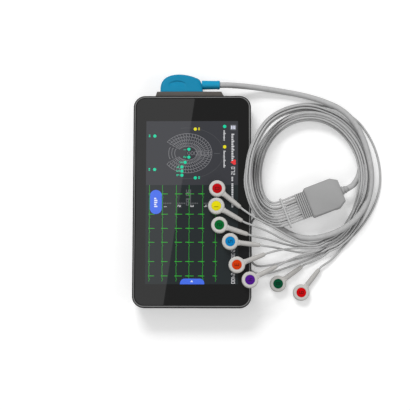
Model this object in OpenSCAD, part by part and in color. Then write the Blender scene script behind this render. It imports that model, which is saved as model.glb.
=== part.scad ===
// Handheld heart-signal monitor lying on its back, with its twelve-lead patient cable.
// +X is to the right of the screen, +Y towards the connector edge, +Z out of the screen.
// The origin is on the back face, under the middle of the case.

/* [Case] */
// Width of the case
body_w = 96; // [92:0.5:104]
// Length of the case
body_l = 173; // [168:0.5:186]
// Thickness from the back face to the front of the glass
body_t = 19; // [18:0.5:24]
// Plan radius of the four corners
corner_r = 9.5; // [9:0.25:12]
// Radius that rounds the back edges
back_r = 8.5; // [6:0.25:8.5]
// Wall of the back shell
wall = 2; // [1.6:0.1:2.4]
// Depth of the front frame, from its seam to the top of its rim
frame_h = 4.6; // [4.2:0.1:5.2]
// Length of the separate cap at the top of the back
cap_l = 17; // [15:0.5:20]
// Gap left at a seam between two shells
seam_gap = 0.2; // [0.1:0.05:0.3]

/* [Front] */
// Width of rim left outside the glass
rim_w = 2.4; // [2:0.1:3]
// Thickness of the cover glass
glass_t = 1.5; // [1.1:0.1:1.6]
// Width of the lit picture area
screen_w = 74.7; // [66:0.1:78]
// Length of the lit picture area
screen_l = 132.8; // [120:0.1:142]
// How far the picture area sits below the middle of the case, along Y
screen_drop = -0.4; // [-2:0.1:2]
// Thickness of the display panel
panel_t = 2.2; // [1.6:0.1:2.4]

/* [Side keys] */
// Length of the power key
power_len = 15; // [12:0.5:20]
// Length of the volume rocker
rocker_len = 37; // [30:0.5:40]
// Length of the function key
function_len = 15; // [12:0.5:20]
// Height of every side key
key_h = 3.2; // [2.6:0.1:3.6]
// Travel of a side key
key_travel = 0.5; // [0.3:0.05:0.6]
// Depth of the recess that the keys sit in
recess_depth = 1.2; // [1:0.1:1.4]
// Clearance round a side key
key_gap = 0.2; // [0.15:0.05:0.3]

/* [Connector] */
// Length of the connector block along the top edge
block_w = 55.5; // [50:0.5:60]
// How far the connector block stands out of the top edge
block_out = 4; // [3:0.5:6]
// Thickness of the connector block
block_t = 13.8; // [12:0.2:14]
// Width of the socket opening
socket_w = 30; // [28:0.5:32]
// Height of the socket opening
socket_h = 7; // [6:0.25:8]
// Depth of the socket opening
socket_depth = 8; // [7:0.5:9]
// Clearance between the plug and the socket
plug_gap = 0.25; // [0.15:0.05:0.4]
// Thickness of the plug's hood
hood_t = 12.4; // [11:0.2:13]

/* [Cable] */
// Diameter of the main cable
main_d = 4.8; // [4.4:0.1:4.9]
// Diameter of each lead wire
lead_d = 1.7; // [1.4:0.05:1.75]
// Length of the yoke that splits the cable into leads
yoke_l = 29; // [27:0.5:32]
// Width of the yoke
yoke_w = 25.4; // [24:0.2:28]
// Thickness of the yoke
yoke_t = 8.4; // [7:0.2:9]
// Distance between neighbouring leads where they leave the yoke
lead_pitch = 2.2; // [2.1:0.05:2.3]

/* [Snaps] */
// Diameter of a snap's head
snap_d = 13.4; // [12.6:0.1:13.6]
// Height of a snap's head
snap_h = 5; // [4.6:0.1:5.2]
// Diameter of the coloured disc on a snap
disc_d = 7.8; // [7:0.1:9]
// Diameter of the electrode stud that a snap takes
stud_d = 4; // [3.8:0.05:4.1]
// Depth of the stud's bore
stud_depth = 2.6; // [2.2:0.1:2.8]
// Length of the boot behind a snap's head
boot_l = 18; // [14:0.5:18]

/* [Hidden] */
$fn = 48;
eps = 0.01;

// ---- Case heights, from the back face up
split_z = body_t - 0.4 - frame_h;
rim_top = split_z + frame_h;
glass_z = body_t - glass_t;
glass_gap = 0.15;
glass_w = body_w - 2 * rim_w;
glass_l = body_l - 2 * rim_w;
glass_r = corner_r - rim_w;
edge_z = 11;
rest_gap = 0.3;

// ---- Side keys, along Y and up Z
recess_h = key_h + 1.8;
power_y = body_l / 2 - 42;
rocker_y = 2;
function_y = -body_l / 2 + 45.5;
recess_over = 11;
rocker_over = 10;
wall_x = body_w / 2;
key_proud = 0.1;
key_cap_t = 0.9;
flange_t = 1;
flange_over = 0.5;
flange_room = 0.15;
rocker_room = 0.75;
plunger_l = 0.8;
press_gap = 0.2;
dome_t = 0.5;
key_board_t = 0.8;
rocker_pin_d = 1.5;
pin_gap = 0.1;

flange_x = wall_x - wall - flange_room - flange_t;
dome_top = flange_x - plunger_l - key_travel - press_gap;
pin_x = wall_x - wall - rocker_room - flange_t / 2;
rocker_tilt = 1.4;
rocker_reach = rocker_len / 4;
rocker_travel = rocker_reach * sin(rocker_tilt) + 0.02;
lug_gap = 0.2;
lug_t = 1.2;
lug_top = 0.6;
lug_r = 1.5;

// ---- Connector, plug and the middle of their thickness
plug_z = body_t / 2;
block_x0 = -29.5;
block_y = body_l / 2;
block_face = block_y + block_out;
socket_x = -8.8;
socket_wall = 0.8;
insert_w = socket_w - 2 * (socket_wall + plug_gap);
insert_h = socket_h - 2 * (socket_wall + plug_gap);
insert_depth = 6;
hood_lift = 0.2;
hood_y = block_face + hood_lift;
relief_x0 = 7.2;
relief_x1 = 22.4;
relief_y = hood_y + 6.7;
relief_d0 = 7.4;
relief_d1 = 6.6;
relief_cone = 12;

// ---- Yoke frame: its middle, the way it points, and its heights
yoke_c = [108.2, 4];
yoke_turn = 21;
yoke_z0 = snap_h + 0.2;
yoke_mid = yoke_z0 + yoke_t / 2;
yoke_wall = 1.4;
relief_len = 8;
relief_h = 5;
relief_w = 21.6;
relief_ribs = 5;
rib_t = 1;
rib_pitch = (relief_len - 0.4 - rib_t) / (relief_ribs - 1);
collar_len = 5.5;
collar_core = 5;
// Rings of the collar, each [distance from the yoke, diameter, width]
collar_rings = [[0.3, 7, 1.4], [2.6, 6.2, 1.2]];
comb_x = -34.5;
comb_w = 24;
comb_t = 1.5;
comb_h = 4;
straight_x = -37;

// ---- Coil frame: the middle and inner half axes of the ring of cable
ring_c = [96.5, 21.5];
ring_a = 41;
ring_b = 48;
ring_steps = 24;

// ---- Snaps: [x, y, height of its underside, way its boot points]
on_glass = body_t + rest_gap;
SNAPS = [
    [20.5, 9.5, on_glass, -39],
    [19.8, -4.6, on_glass, -30],
    [22.3, -20, on_glass, -18],
    [36.3, -52, on_glass, 21],
    [46.8, -64, on_glass, 27],
    [31, -33.3, on_glass, -7],
    [117.4, 1.1, 0, 201],
    [99, 6.9, 0, 201],
    [70, -66.3, 0, 36],
    [88.8, -73.4, 0, 52]
];
boot_z = 2.2;
boot_r0 = 1.85;
boot_r1 = 1.45;
boot_start = snap_d / 2 - 0.4;

function unit(v) = v / norm(v);
function lerp(a, b, t) = a + (b - a) * t;
function smooth(t) = t <= 0 ? 0 : t >= 1 ? 1 : t * t * (3 - 2 * t);
// Value at angle a between keys [angle, value], listed clockwise, so with falling angles
function keyed(keys, a) =
    let (n = len(keys))
    a >= keys[0][0] ? keys[0][1]
    : a <= keys[n - 1][0] ? keys[n - 1][1]
    : let (i = max([for (j = [0 : n - 2]) if (keys[j][0] >= a) j]))
      lerp(keys[i][1], keys[i + 1][1], smooth((keys[i][0] - a) / (keys[i][0] - keys[i + 1][0])));

// Point of the ring at angle a, u outside its inner edge and z up
function ring_point(a, u, z) =
    [ring_c[0] + (ring_a + u) * cos(a), ring_c[1] + (ring_b + u) * sin(a), z];
// Unit direction of clockwise travel on the ring at angle a
function ring_way(a, u) = unit([(ring_a + u) * sin(a), -(ring_b + u) * cos(a), 0]);
// A point given in the yoke's own frame
function yoke_point(x, y, z) =
    [yoke_c[0] + x * cos(yoke_turn) - y * sin(yoke_turn),
     yoke_c[1] + x * sin(yoke_turn) + y * cos(yoke_turn), z];
yoke_way = [cos(yoke_turn), sin(yoke_turn), 0];
// Tip of the boot of snap s
function boot_tip(s) =
    [s[0] + (boot_start + boot_l) * cos(s[3]), s[1] + (boot_start + boot_l) * sin(s[3]), s[2] + boot_z];
function boot_way(s) = [cos(s[3]), sin(s[3]), 0];

// ---- The main cable's lane in the ring: [angle, [u, z]], clockwise over more than a turn
main_floor = main_d / 2 + 0.05;
main_in = 2.7;
MAIN_START = 68;
MAIN_END = -340;
MAIN_U = [[70, 15.4], [12, 9], [-15, 9], [-80, 2.6], [-110, main_in]];
MAIN_Z = [[68, 5.1], [20, 6.9], [-58, 6.9], [-92, main_floor], [-116, main_floor],
          [-130, main_floor + 2.2], [-165, main_floor + 2.2], [-182, main_floor]];
function main_at(a) = ring_point(a, keyed(MAIN_U, a), keyed(MAIN_Z, a));

// ---- The leads' lanes: five ride in a saddle over the main cable and five lie outside it
saddle_r1 = 3.9;
saddle_r2 = 5.45;
function saddle(k) =
    k % 2 == 0
    ? [main_in + saddle_r1 * cos(150 - 30 * k), main_floor + saddle_r1 * sin(150 - 30 * k)]
    : [main_in + saddle_r2 * cos(134 - 22 * k), main_floor + saddle_r2 * sin(134 - 22 * k)];
lead_floor = lead_d / 2 + 0.15;
row_up = 2.05;
rim_up = body_t + lead_d / 2 + 0.35;
function floor_row(k) = [0.9 + 1.1 * k, lead_floor + (k % 2) * row_up];
LIFT = [[190, 3.2], [168, 0], [48, 0], [14, 2.8], [2, 4.4]];
SETTLE = [[-14, 0], [-34, 1]];
SHIFT = [[-26, 0], [-72, 4.6]];
PILE_U = [[152, 7.4], [128, 8.6], [96, 8.6], [70, 6.7], [20, 6.7], [-20, 7.6]];
PILE_Z = [[194, rim_up + 0.9], [178, rim_up], [152, rim_up], [92, lead_floor]];
PILE_PITCH = [[190, 2.9], [172, 2.2], [150, 2.2], [90, 2.6], [20, 2.6], [-20, 2.2]];
BOW = [[95, 0], [40, 1]];
BOW_U = [[0, 17.1], [-42, 14.6]];
function pile(j, a) =
    [keyed(PILE_U, a) + j * keyed(PILE_PITCH, a) / 2, keyed(PILE_Z, a) + (j % 2) * row_up];
function lane(k, a) =
    k < 5
    ? lerp(saddle(k) + [0, k < 4 || a > 100 ? keyed(LIFT, a) : 0],
           floor_row(k) + [keyed(SHIFT, a), 0], keyed(SETTLE, a))
    : k < 9 ? pile(k - 5, a) + [keyed(SHIFT, a), 0]
    : lerp(pile(k - 5, a), [keyed(BOW_U, a), lead_floor], keyed(BOW, a));
// How far each lead arches up on its way from the yoke into the ring
ARCH = [0, 2, 0, 2, 0, 0, 3.4, 0, 2, 0];
function join_angle(k) = 190 + 0.8 * k;
function leave_angle(k) = k == 9 ? -50 : -72;
function lead_at(k, a) = let (l = lane(k, a)) ring_point(a, l[0], l[1]);
// Where lead k leaves the straight ribbon in front of the yoke
function ribbon_y(k) = (4.5 - k) * lead_pitch;
function bezier(p, q, r, s, t) =
    p * pow(1 - t, 3) + 3 * q * t * pow(1 - t, 2) + 3 * r * t * t * (1 - t) + s * pow(t, 3);
function lead_route(k) =
    let (a0 = join_angle(k), a1 = leave_angle(k), u0 = lane(k, a0)[0], u1 = lane(k, a1)[0],
         p = yoke_point(straight_x, ribbon_y(k), yoke_mid), s = lead_at(k, a0),
         h = 0.42 * norm(s - p), over = [0, 0, ARCH[k]], last = lead_at(k, a1),
         n = ceil((a0 - a1) * ring_steps / 360))
    concat(
        [yoke_point(-yoke_l / 2 - relief_len, ribbon_y(k), yoke_mid)],
        [for (i = [0 : 4]) bezier(p, p - h * yoke_way, s - h * ring_way(a0, u0) + over, s, i / 5)],
        [for (i = [0 : n - 1]) lead_at(k, a0 + (a1 - a0) * i / n)],
        [last, last + lead_d * ring_way(a1, u1)]);
main_steps = ceil((MAIN_START - MAIN_END) * ring_steps / 360);
main_route = concat(
    [main_at(MAIN_START) - main_d * ring_way(MAIN_START, 15.4)],
    [for (i = [0 : main_steps]) main_at(MAIN_START + (MAIN_END - MAIN_START) * i / main_steps)],
    [main_at(MAIN_END) + main_d * ring_way(MAIN_END, main_in)]);

// ---- Free routes, chosen by hand: the main cable from its plug, and into the yoke
main_head = [relief_x1, relief_y, plug_z];
MAIN_FREE = [
    main_head, main_head + [6, 0, 0], [40, 97, 7.6], [56, 95.8, 4.6],
    [73, 93.4, 2.9], [90, 90.2, 2.9], [103, 86.4, 3.8]
];
collar_end = yoke_point(yoke_l / 2 + collar_len, 0, yoke_mid);
MAIN_TAIL = [[138.2, 28, 3], [136.6, 22.2, 4], [133.6, 17, 6], [130.8, 13.6, 8.6]];

// ---- Free routes of the ten leads from the ring to their boots
LEAD_FREE = [
    [[103, -32.8, 1.3], [92, -32.8, 3.2], [80, -28.2, 7.5], [66, -21, 14.2], [52, -14.4, 20]],
    [[103, -34.9, 3.2], [90, -35.2, 5], [76, -31.4, 9.4], [62, -24.8, 16], [50, -20.4, 20.2]],
    [[104, -35.6, 1.1], [92, -36.8, 1.8], [77, -34.6, 7.2], [62, -31, 15.5], [52, -29.2, 20]],
    [[104, -36.3, 4.9], [92, -37.4, 7.2], [78, -38.4, 12.8], [68, -40.4, 18.5]],
    [[104, -38.7, 4.3], [93, -41.8, 6.8], [84, -45.2, 11], [75, -49.6, 18]],
    [[104, -39.2, 1.1], [92, -40.8, 2.4], [80, -39.6, 7.4], [67, -37.6, 16]],
    [[104, -40.9, 2.6], [92, -44.4, 1.1], [61, -51.4, 1.1], [53, -51.6, 1.1], [48.9, -48.4, 1.1],
     [48.1, -42, 1.1], [48.1, -20, 1.1], [49, -15, 1.1], [52.6, -11.2, 1.1], [58, -10.6, 1.1],
     [72, -15, 1.1], [82, -13.8, 1.3]],
    [[104, -42.5, 1.1], [63, -57.4, 1.1], [52.4, -58, 1.1], [46.8, -54, 1.1], [45.8, -47, 1.1],
     [45.8, -10, 1.1], [46.8, -3.8, 1.1], [50.6, 0.2, 1.1], [55.4, -0.4, 1.1], [64, -4.6, 1.1],
     [71, -4.4, 1.4]],
    [[106, -44.2, 1.1], [97.6, -48.4, 1.5]],
    [[124, -35.6, 1.1], [113.2, -46.8, 1.4]]
];

// ---- Least gap of a coil's tube of diameter d to itself, between points at least skip apart
function least_gap(p, d, skip) =
    min([for (i = [0 : len(p) - 1 - skip], j = [i + skip : len(p) - 1]) norm(p[i] - p[j])]) - d;
echo(main_coil_gap = least_gap(main_route, main_d, 8));
echo(lead_coil_gap = min([for (k = [0 : 9]) least_gap(lead_route(k), lead_d, 8)]));

// ---- Tubes
function tangent(p, i) =
    i == 0 ? unit(p[1] - p[0])
    : i == len(p) - 1 ? unit(p[i] - p[i - 1])
    : unit(unit(p[i] - p[i - 1]) + unit(p[i + 1] - p[i]));
function ring_of(c, t, r, n) =
    let (s = unit(cross([0, 0, 1], t)), v = cross(t, s))
    [for (i = [0 : n - 1]) c + r * (cos(360 * i / n) * s + sin(360 * i / n) * v)];
// A closed tube of n sides along the points of p, its faces all triangles
module tube(p, d, n) {
    m = len(p);
    pts = [for (i = [0 : m - 1]) each ring_of(p[i], tangent(p, i), d / 2, n)];
    sides = [
        for (i = [0 : m - 2], j = [0 : n - 1])
            let (a = i * n + j, b = i * n + (j + 1) % n)
            each [[a, b, b + n], [a, b + n, a + n]]
    ];
    ends = [
        for (j = [1 : n - 2])
            each [[0, j + 1, j], [(m - 1) * n, (m - 1) * n + j, (m - 1) * n + j + 1]]
    ];
    polyhedron(points = pts, faces = concat(sides, ends));
}

// ---- Shells
// Plan of the case, drawn in by d all round
module plan(w, l, r) {
    square([w - 2 * r, l], center = true);
    square([w, l - 2 * r], center = true);
    for (sx = [-1, 1], sy = [-1, 1])
        translate([sx * (w / 2 - r), sy * (l / 2 - r)]) circle(r);
}
module slab(w, l, h, r) {
    linear_extrude(h) plan(w, l, r);
}
// Half section of a rounded bottom edge: r wide, h high, its lower corner rounded by e
module edge_section(r, h, e) {
    difference() {
        square([r, h]);
        difference() {
            translate([r - e, 0]) square([e + eps, e]);
            translate([r - e, e]) circle(e);
        }
    }
}
// Block with corners of radius r in plan and bottom edges rounded by e
module soft_block(w, l, h, r, e) {
    x = w / 2 - r;
    y = l / 2 - r;
    for (sx = [-1, 1], sy = [-1, 1])
        translate([sx * x, sy * y, 0]) rotate_extrude() edge_section(r, h, e);
    for (a = [0, 180]) {
        rotate([90, 0, a]) translate([x, 0, -y]) linear_extrude(2 * y) edge_section(r, h, e);
        rotate([90, 0, a + 90]) translate([y, 0, -x]) linear_extrude(2 * x) edge_section(r, h, e);
    }
    translate([-x, -y, 0]) cube([2 * x, 2 * y, h]);
}
module cavity() {
    translate([0, 0, wall])
        soft_block(body_w - 2 * wall, body_l - 2 * wall, split_z, corner_r - wall, back_r - wall);
}
// The half of the case on the far side of the cap's seam
module cap_side(extra) {
    translate([-body_w, body_l / 2 - cap_l - extra, -1]) cube([2 * body_w, 2 * cap_l, body_t + 2]);
}
module side_recess(y, len) {
    translate([wall_x - recess_depth, y - len / 2, edge_z - recess_h / 2])
        cube([recess_depth + 1, len, recess_h]);
}
module key_window(y, len) {
    translate([wall_x - wall - 2, y - len / 2 - key_gap, edge_z - key_h / 2 - key_gap])
        cube([wall + 3, len + 2 * key_gap, key_h + 2 * key_gap]);
}

screw_d = 2;
screw_head_d = 4;
screw_head_h = 1.4;
screw_z = 1;
low_screw = [body_w / 2 - 16, -body_l / 2 + 27.5];
high_screw = [body_w / 2 - 12, body_l / 2 - 24.5];
screw_spots = [for (s = [low_screw, high_screw], side = [1, -1]) [side * s[0], s[1]]];
label_w = 54;
label_l = 34.4;
label_y = -body_l / 2 + 47.5;
label_t = 0.6;
label_lift = 0.6;
ring_y = body_l / 2 - 9.6;
ring_d = 13;
slot_x = [-7, -3.8];
slot_y = -body_l / 2 + 15;
slot_l = 12;
slot_w = 1.2;
contact_y = [slot_y + 0.5, slot_y - 2.7];
contact_x = 4.6;
contact_d = 1.6;
usb_w = 9.2;
usb_h = 3.4;
usb_z = 9;
boss_d = 6;
board_z = 8.6;
board_t = 1.2;
board_l = 55;
board_y1 = block_face - socket_depth - socket_wall - 4.7;
board_y0 = board_y1 - board_l;
board_x0 = -body_w / 2 + 7;
board_x1 = body_w / 2 - 9;
ecg_w = 34;
ecg_l = 28;
ecg_t = 1;
ecg_z = board_z - 3.6;
ecg_gap = 1;
link_w = 16;
link_l = 4;
post_d = 4;
post_in = 3;
board_posts = [[board_x0 + post_in, board_y0 + post_d], [board_x1 - post_in, board_y0 + post_d],
               [socket_x - ecg_w / 2 - 3.7, board_y1 - 11], [socket_x + ecg_w / 2 + 17.8, board_y1 - 11]];
mid_t = 1;
mid_z = glass_z - panel_t - mid_t - 0.1;

// Two lugs inside the wall that hold the rocker's pin
module rocker_lugs() {
    h = key_h / 2 + flange_over + lug_gap;
    w = wall_x - wall + 0.4 - pin_x + lug_r;
    difference() {
        union() {
            translate([pin_x - lug_r, rocker_y - lug_r, edge_z - h - lug_t]) cube([w, 2 * lug_r, lug_t]);
            translate([pin_x - lug_r, rocker_y - lug_r, edge_z + h]) cube([w, 2 * lug_r, lug_top]);
        }
        translate([pin_x, rocker_y, 0]) cylinder(d = rocker_pin_d + 0.02, h = body_t);
    }
}
module back_cover() {
    color("#2a2a2a") difference() {
        union() {
            difference() {
                soft_block(body_w, body_l, split_z, corner_r, back_r);
                cavity();
            }
            for (s = screw_spots)
                translate([s[0], s[1], wall - 0.4]) cylinder(d = boss_d, h = mid_z - 0.1 - wall + 0.4);
            for (q = board_posts)
                translate([q[0], q[1], wall - 0.4]) cylinder(d = post_d, h = board_z - 0.05 - wall + 0.4);
            rocker_lugs();
            translate([-label_w / 2 - 1, label_y - label_l / 2 - 1, wall - eps])
                cube([label_w + 2, label_l + 2, label_lift]);
        }
        cap_side(seam_gap / 2);
        translate([-label_w / 2, label_y - label_l / 2, -1]) cube([label_w, label_l, label_t + 1.15]);
        for (s = screw_spots) translate([s[0], s[1], -1]) {
            cylinder(d = screw_d + 0.3, h = split_z + 2);
            cylinder(d = screw_head_d + 0.3, h = 1 + screw_z + screw_head_h + 0.02);
        }
        for (x = slot_x)
            translate([x - slot_w / 2, slot_y - slot_l / 2, -1]) cube([slot_w, slot_l, wall + 2]);
        for (y = contact_y) translate([contact_x, y, -1]) cylinder(d = contact_d + 0.2, h = wall + 2);
        side_recess(power_y, power_len + recess_over);
        side_recess(rocker_y, rocker_len + recess_over);
        side_recess(function_y, function_len + recess_over);
        key_window(power_y, power_len);
        key_window(rocker_y, rocker_len);
        key_window(function_y, function_len);
        translate([-usb_w / 2 - 0.15, -body_l / 2 - 1, usb_z - usb_h / 2 - 0.15])
            cube([usb_w + 0.3, wall + 3, usb_h + 0.3]);
    }
}

neck_w = block_w - 8;
neck_h = block_t - 4;
neck_x = (block_x0 + block_x0 + block_w) / 2;
module top_cap() {
    color("#303030") difference() {
        intersection() {
            difference() {
                soft_block(body_w, body_l, split_z, corner_r, back_r);
                cavity();
            }
            cap_side(-seam_gap / 2);
        }
        translate([0, ring_y, -1]) cylinder(d = ring_d + 0.3, h = wall + 2);
        translate([neck_x - neck_w / 2 - seam_gap, block_y - back_r, plug_z - neck_h / 2 - seam_gap])
            cube([neck_w + 2 * seam_gap, back_r + 1, neck_h + 2 * seam_gap]);
    }
}

frame_wall = 3.4;
rim_round = 0.7;
module front_frame() {
    color("#1e1e1e") difference() {
        translate([0, 0, rim_top]) mirror([0, 0, 1])
            soft_block(body_w, body_l, frame_h - seam_gap, corner_r, rim_round);
        translate([0, 0, split_z - 1])
            slab(body_w - 2 * frame_wall, body_l - 2 * frame_wall, frame_h + 2, corner_r - frame_wall);
        translate([0, 0, glass_z - glass_gap])
            slab(glass_w + 2 * glass_gap, glass_l + 2 * glass_gap, glass_t + 2, glass_r + glass_gap);
        translate([neck_x - neck_w / 2 - seam_gap, block_y - frame_wall - 1, 0])
            cube([neck_w + 2 * seam_gap, frame_wall + 2, plug_z + neck_h / 2 + seam_gap]);
    }
}
module cover_glass() {
    color("#202022") translate([0, 0, glass_z]) slab(glass_w, glass_l, glass_t, glass_r);
}
panel_over = 2.4;
module display_panel() {
    color("#31383b")
        translate([-screen_w / 2 - panel_over, screen_drop - screen_l / 2 - panel_over, glass_z - panel_t])
            cube([screen_w + 2 * panel_over, screen_l + 2 * panel_over, panel_t - 0.05]);
}
frame_gap = 0.4;
module mid_frame() {
    w = body_w - 2 * frame_wall - 2 * frame_gap;
    l = body_l - 2 * frame_wall - 2 * frame_gap;
    color("#8d9094") difference() {
        translate([0, 0, mid_z]) slab(w, l, mid_t, corner_r - frame_wall - frame_gap);
        for (s = screw_spots) translate([s[0], s[1], mid_z - 1]) cylinder(d = screw_d + 0.2, h = mid_t + 2);
        translate([-20, -l / 2 + 6, mid_z - 1]) cube([40, 8, mid_t + 2]);
        translate([neck_x - neck_w / 2 - frame_gap, block_y - wall - 13, mid_z - 1])
            cube([neck_w + 2 * frame_gap, 20, mid_t + 2]);
    }
}
module seal_ring() {
    w = body_w - 2 * wall - 0.4;
    l = body_l - 2 * wall - 0.4;
    color("#55585b") difference() {
        translate([0, 0, split_z + 0.02]) slab(body_w - 1.6, body_l - 1.6, seam_gap - 0.04, corner_r - 0.8);
        translate([0, 0, split_z - 1]) slab(w, l, 3, corner_r - wall - 0.2);
        translate([neck_x - neck_w / 2 - seam_gap, block_y - wall - 1, 0])
            cube([neck_w + 2 * seam_gap, wall + 2, body_t]);
    }
}

// ---- Connector block and socket
block_slant = 2.3;
module connector_block() {
    x0 = block_x0;
    x1 = block_x0 + block_w;
    color("#645f5a") difference() {
        union() {
            translate([0, 0, plug_z - block_t / 2]) linear_extrude(block_t)
                polygon([[x0 - 0.8, block_y + 0.05], [x1, block_y + 0.05],
                         [x1 - block_slant, block_face], [x0 + 0.4, block_face]]);
            translate([neck_x - neck_w / 2, block_y - wall - 2, plug_z - neck_h / 2])
                cube([neck_w, wall + 3, neck_h]);
        }
        translate([socket_x - socket_w / 2 - 0.05, block_y - wall - 3, plug_z - socket_h / 2 - 0.05])
            cube([socket_w + 0.1, block_out + wall + 4, socket_h + 0.1]);
    }
}
socket_y0 = block_face - socket_depth - socket_wall;
pin_pitch = 2.54;
pin_n = 10;
pin_d = 0.8;
pin_reach = 5;
module pin_grid() {
    for (i = [0 : pin_n - 1], sz = [-1, 1])
        translate([socket_x + (i - (pin_n - 1) / 2) * pin_pitch, socket_y0, plug_z + sz * 1.27])
            rotate([-90, 0, 0]) children();
}
module socket_shell() {
    color("#1a1a1a") difference() {
        translate([socket_x - socket_w / 2, socket_y0, plug_z - socket_h / 2])
            cube([socket_w, socket_depth + socket_wall, socket_h]);
        translate([socket_x - socket_w / 2 + socket_wall, socket_y0 + socket_wall,
                   plug_z - socket_h / 2 + socket_wall])
            cube([socket_w - 2 * socket_wall, socket_depth + 1, socket_h - 2 * socket_wall]);
        pin_grid() translate([0, 0, -1]) cylinder(d = pin_d, h = socket_wall + 2);
    }
}
module socket_pins() {
    color("#c9a227") pin_grid() translate([0, 0, -2]) cylinder(d = pin_d, h = pin_reach + socket_wall + 2);
}

// ---- Camera, label and small parts of the back
ring_t = 2.4;
lens_d = 8;
module camera_ring() {
    color("#1c1c1c") translate([0, ring_y, 0.1]) difference() {
        cylinder(d = ring_d, h = ring_t);
        translate([0, 0, -1]) cylinder(d = lens_d + 0.1, h = ring_t + 2);
        translate([0, 0, -eps]) cylinder(d1 = lens_d + 2.4, d2 = lens_d, h = 0.8);
    }
}
lens_deep = 4;
module camera_lens() {
    color("#101418") translate([0, ring_y, 0.9]) cylinder(d = lens_d, h = lens_deep);
}
module label_plate() {
    color("#242424") translate([-label_w / 2 + 0.15, label_y - label_l / 2 + 0.15, 0.15])
        cube([label_w - 0.3, label_l - 0.3, label_t]);
}
speaker_w = 14;
speaker_h = 4;
speaker_hole_d = 9;
speaker_x = -5.5;
module speaker() {
    color("#3a3a3a") translate([speaker_x, slot_y, wall + 0.1]) difference() {
        translate([-speaker_w / 2, -speaker_w / 2, 0]) cube([speaker_w, speaker_w, speaker_h]);
        translate([0, 0, -1]) cylinder(d = speaker_hole_d, h = 2);
    }
}
module charge_contacts() {
    color("#c9a227") for (y = contact_y) translate([contact_x, y, 0.1]) {
        cylinder(d = contact_d, h = wall + 0.8);
        translate([0, 0, wall + 0.1]) cylinder(d = 2.6, h = 0.6);
    }
}
module charge_socket() {
    color("#b8b8b8") translate([0, -body_l / 2 + 0.4, usb_z]) rotate([-90, 0, 0]) difference() {
        linear_extrude(7.4) plan(usb_w, usb_h, 1.5);
        translate([0, 0, -1]) linear_extrude(7.4) plan(usb_w - 0.7, usb_h - 0.7, 1.2);
    }
}

// ---- Boards, battery and screws
module main_board() {
    color("#1d5a3a") difference() {
        translate([board_x0, board_y0, board_z]) cube([board_x1 - board_x0, board_l, board_t]);
        for (s = screw_spots) translate([s[0], s[1], board_z - 1]) cylinder(d = boss_d + 0.6, h = 4);
    }
}
// Shield cans, each [distance from the board's left edge, width, length]
cans = [[7, 30, 24], [43, 26, 20]];
can_y = 6;
can_h = 1.8;
module shield_cans() {
    color("#b4b6b8") for (c = cans)
        translate([board_x0 + c[0], board_y0 + can_y, board_z + board_t]) cube([c[1], c[2], can_h]);
}
module ecg_board() {
    color("#24633f") translate([socket_x - ecg_w / 2, board_y1 - ecg_gap - ecg_l, ecg_z]) {
        cube([ecg_w, ecg_l, ecg_t]);
        translate([(ecg_w - link_w) / 2, 2, 0]) cube([link_w, link_l, board_z - 0.05 - ecg_z]);
    }
}
battery_t = 7.4;
battery_side = 10;
battery_right = 16;
battery_low = 36.5;
battery_gap = 4;
module battery() {
    x0 = -body_w / 2 + battery_side;
    x1 = body_w / 2 - battery_right;
    y0 = -body_l / 2 + battery_low;
    y1 = board_y0 - battery_gap;
    color("#8a8f94") translate([(x0 + x1) / 2, (y0 + y1) / 2, wall + label_lift + 0.1])
        linear_extrude(battery_t) plan(x1 - x0, y1 - y0, 2);
}
key_board_h = 4.6;
key_board_over = 4;
dome_d = 4;
module key_board() {
    y0 = function_y - function_len / 2 - key_board_over;
    color("#24633f") translate([dome_top - dome_t - key_board_t, y0, edge_z - key_board_h / 2 - 0.1])
        cube([key_board_t, power_y + power_len / 2 + key_board_over - y0, key_board_h]);
    color("#c0c2c4") for (y = [power_y, rocker_y - rocker_reach, rocker_y + rocker_reach, function_y])
        translate([dome_top - dome_t, y, edge_z]) rotate([0, 90, 0]) cylinder(d = dome_d, h = dome_t);
}
// Caps that close the screw holes nearly flush with the back
cap_in = 0.15;
cap_h = screw_z - cap_in - 0.1;
module screw_caps() {
    color("#2a2a2a") for (s = screw_spots) translate([s[0], s[1], cap_in])
        cylinder(d = screw_head_d + 0.1, h = cap_h);
}
module case_screws() {
    color("#7d8084") for (s = screw_spots) translate([s[0], s[1], screw_z]) difference() {
        union() {
            cylinder(d = screw_head_d, h = screw_head_h);
            cylinder(d = screw_d, h = mid_z + mid_t - 0.2 - screw_z);
        }
        translate([0, 0, -1]) cylinder(d = 1.6, h = 1.8, $fn = 6);
    }
}

// ---- Side keys
// A key of length len whose flange stands room inside the wall, with plungers at ys that travel by travel
module key_body(len, room, ys, travel) {
    x = wall_x - wall - room - flange_t;
    h = key_h / 2 + flange_over;
    translate([wall_x - key_proud - key_cap_t, 0, 0]) rotate([0, 90, 0]) rotate([0, 0, 90])
        linear_extrude(key_cap_t) plan(len, key_h, key_h / 2 - 0.1);
    translate([x, -len / 2 + 0.6, -key_h / 2]) cube([wall_x - key_proud - 0.6 - x, len - 1.2, key_h]);
    translate([x, -len / 2 - 0.6, -h]) cube([flange_t, len + 1.2, 2 * h]);
    for (y = ys)
        translate([dome_top + press_gap + travel, y - 1, -1])
            cube([x + eps - dome_top - press_gap - travel, 2, 2]);
}
module power_key() {
    color("#151515") translate([0, power_y, edge_z]) key_body(power_len, flange_room, [0], key_travel);
}
module function_key() {
    color("#151515") translate([0, function_y, edge_z]) key_body(function_len, flange_room, [0], key_travel);
}
module volume_rocker() {
    color("#151515") translate([0, rocker_y, edge_z]) difference() {
        union() {
            key_body(rocker_len, rocker_room, [-rocker_reach, rocker_reach], rocker_travel);
            translate([pin_x - 1.2, -2, -key_h / 2 - flange_over])
                cube([1.2 + flange_t / 2, 4, key_h + 2 * flange_over]);
        }
        translate([pin_x, 0, -key_h]) cylinder(d = rocker_pin_d + pin_gap, h = 2 * key_h);
    }
}
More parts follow.
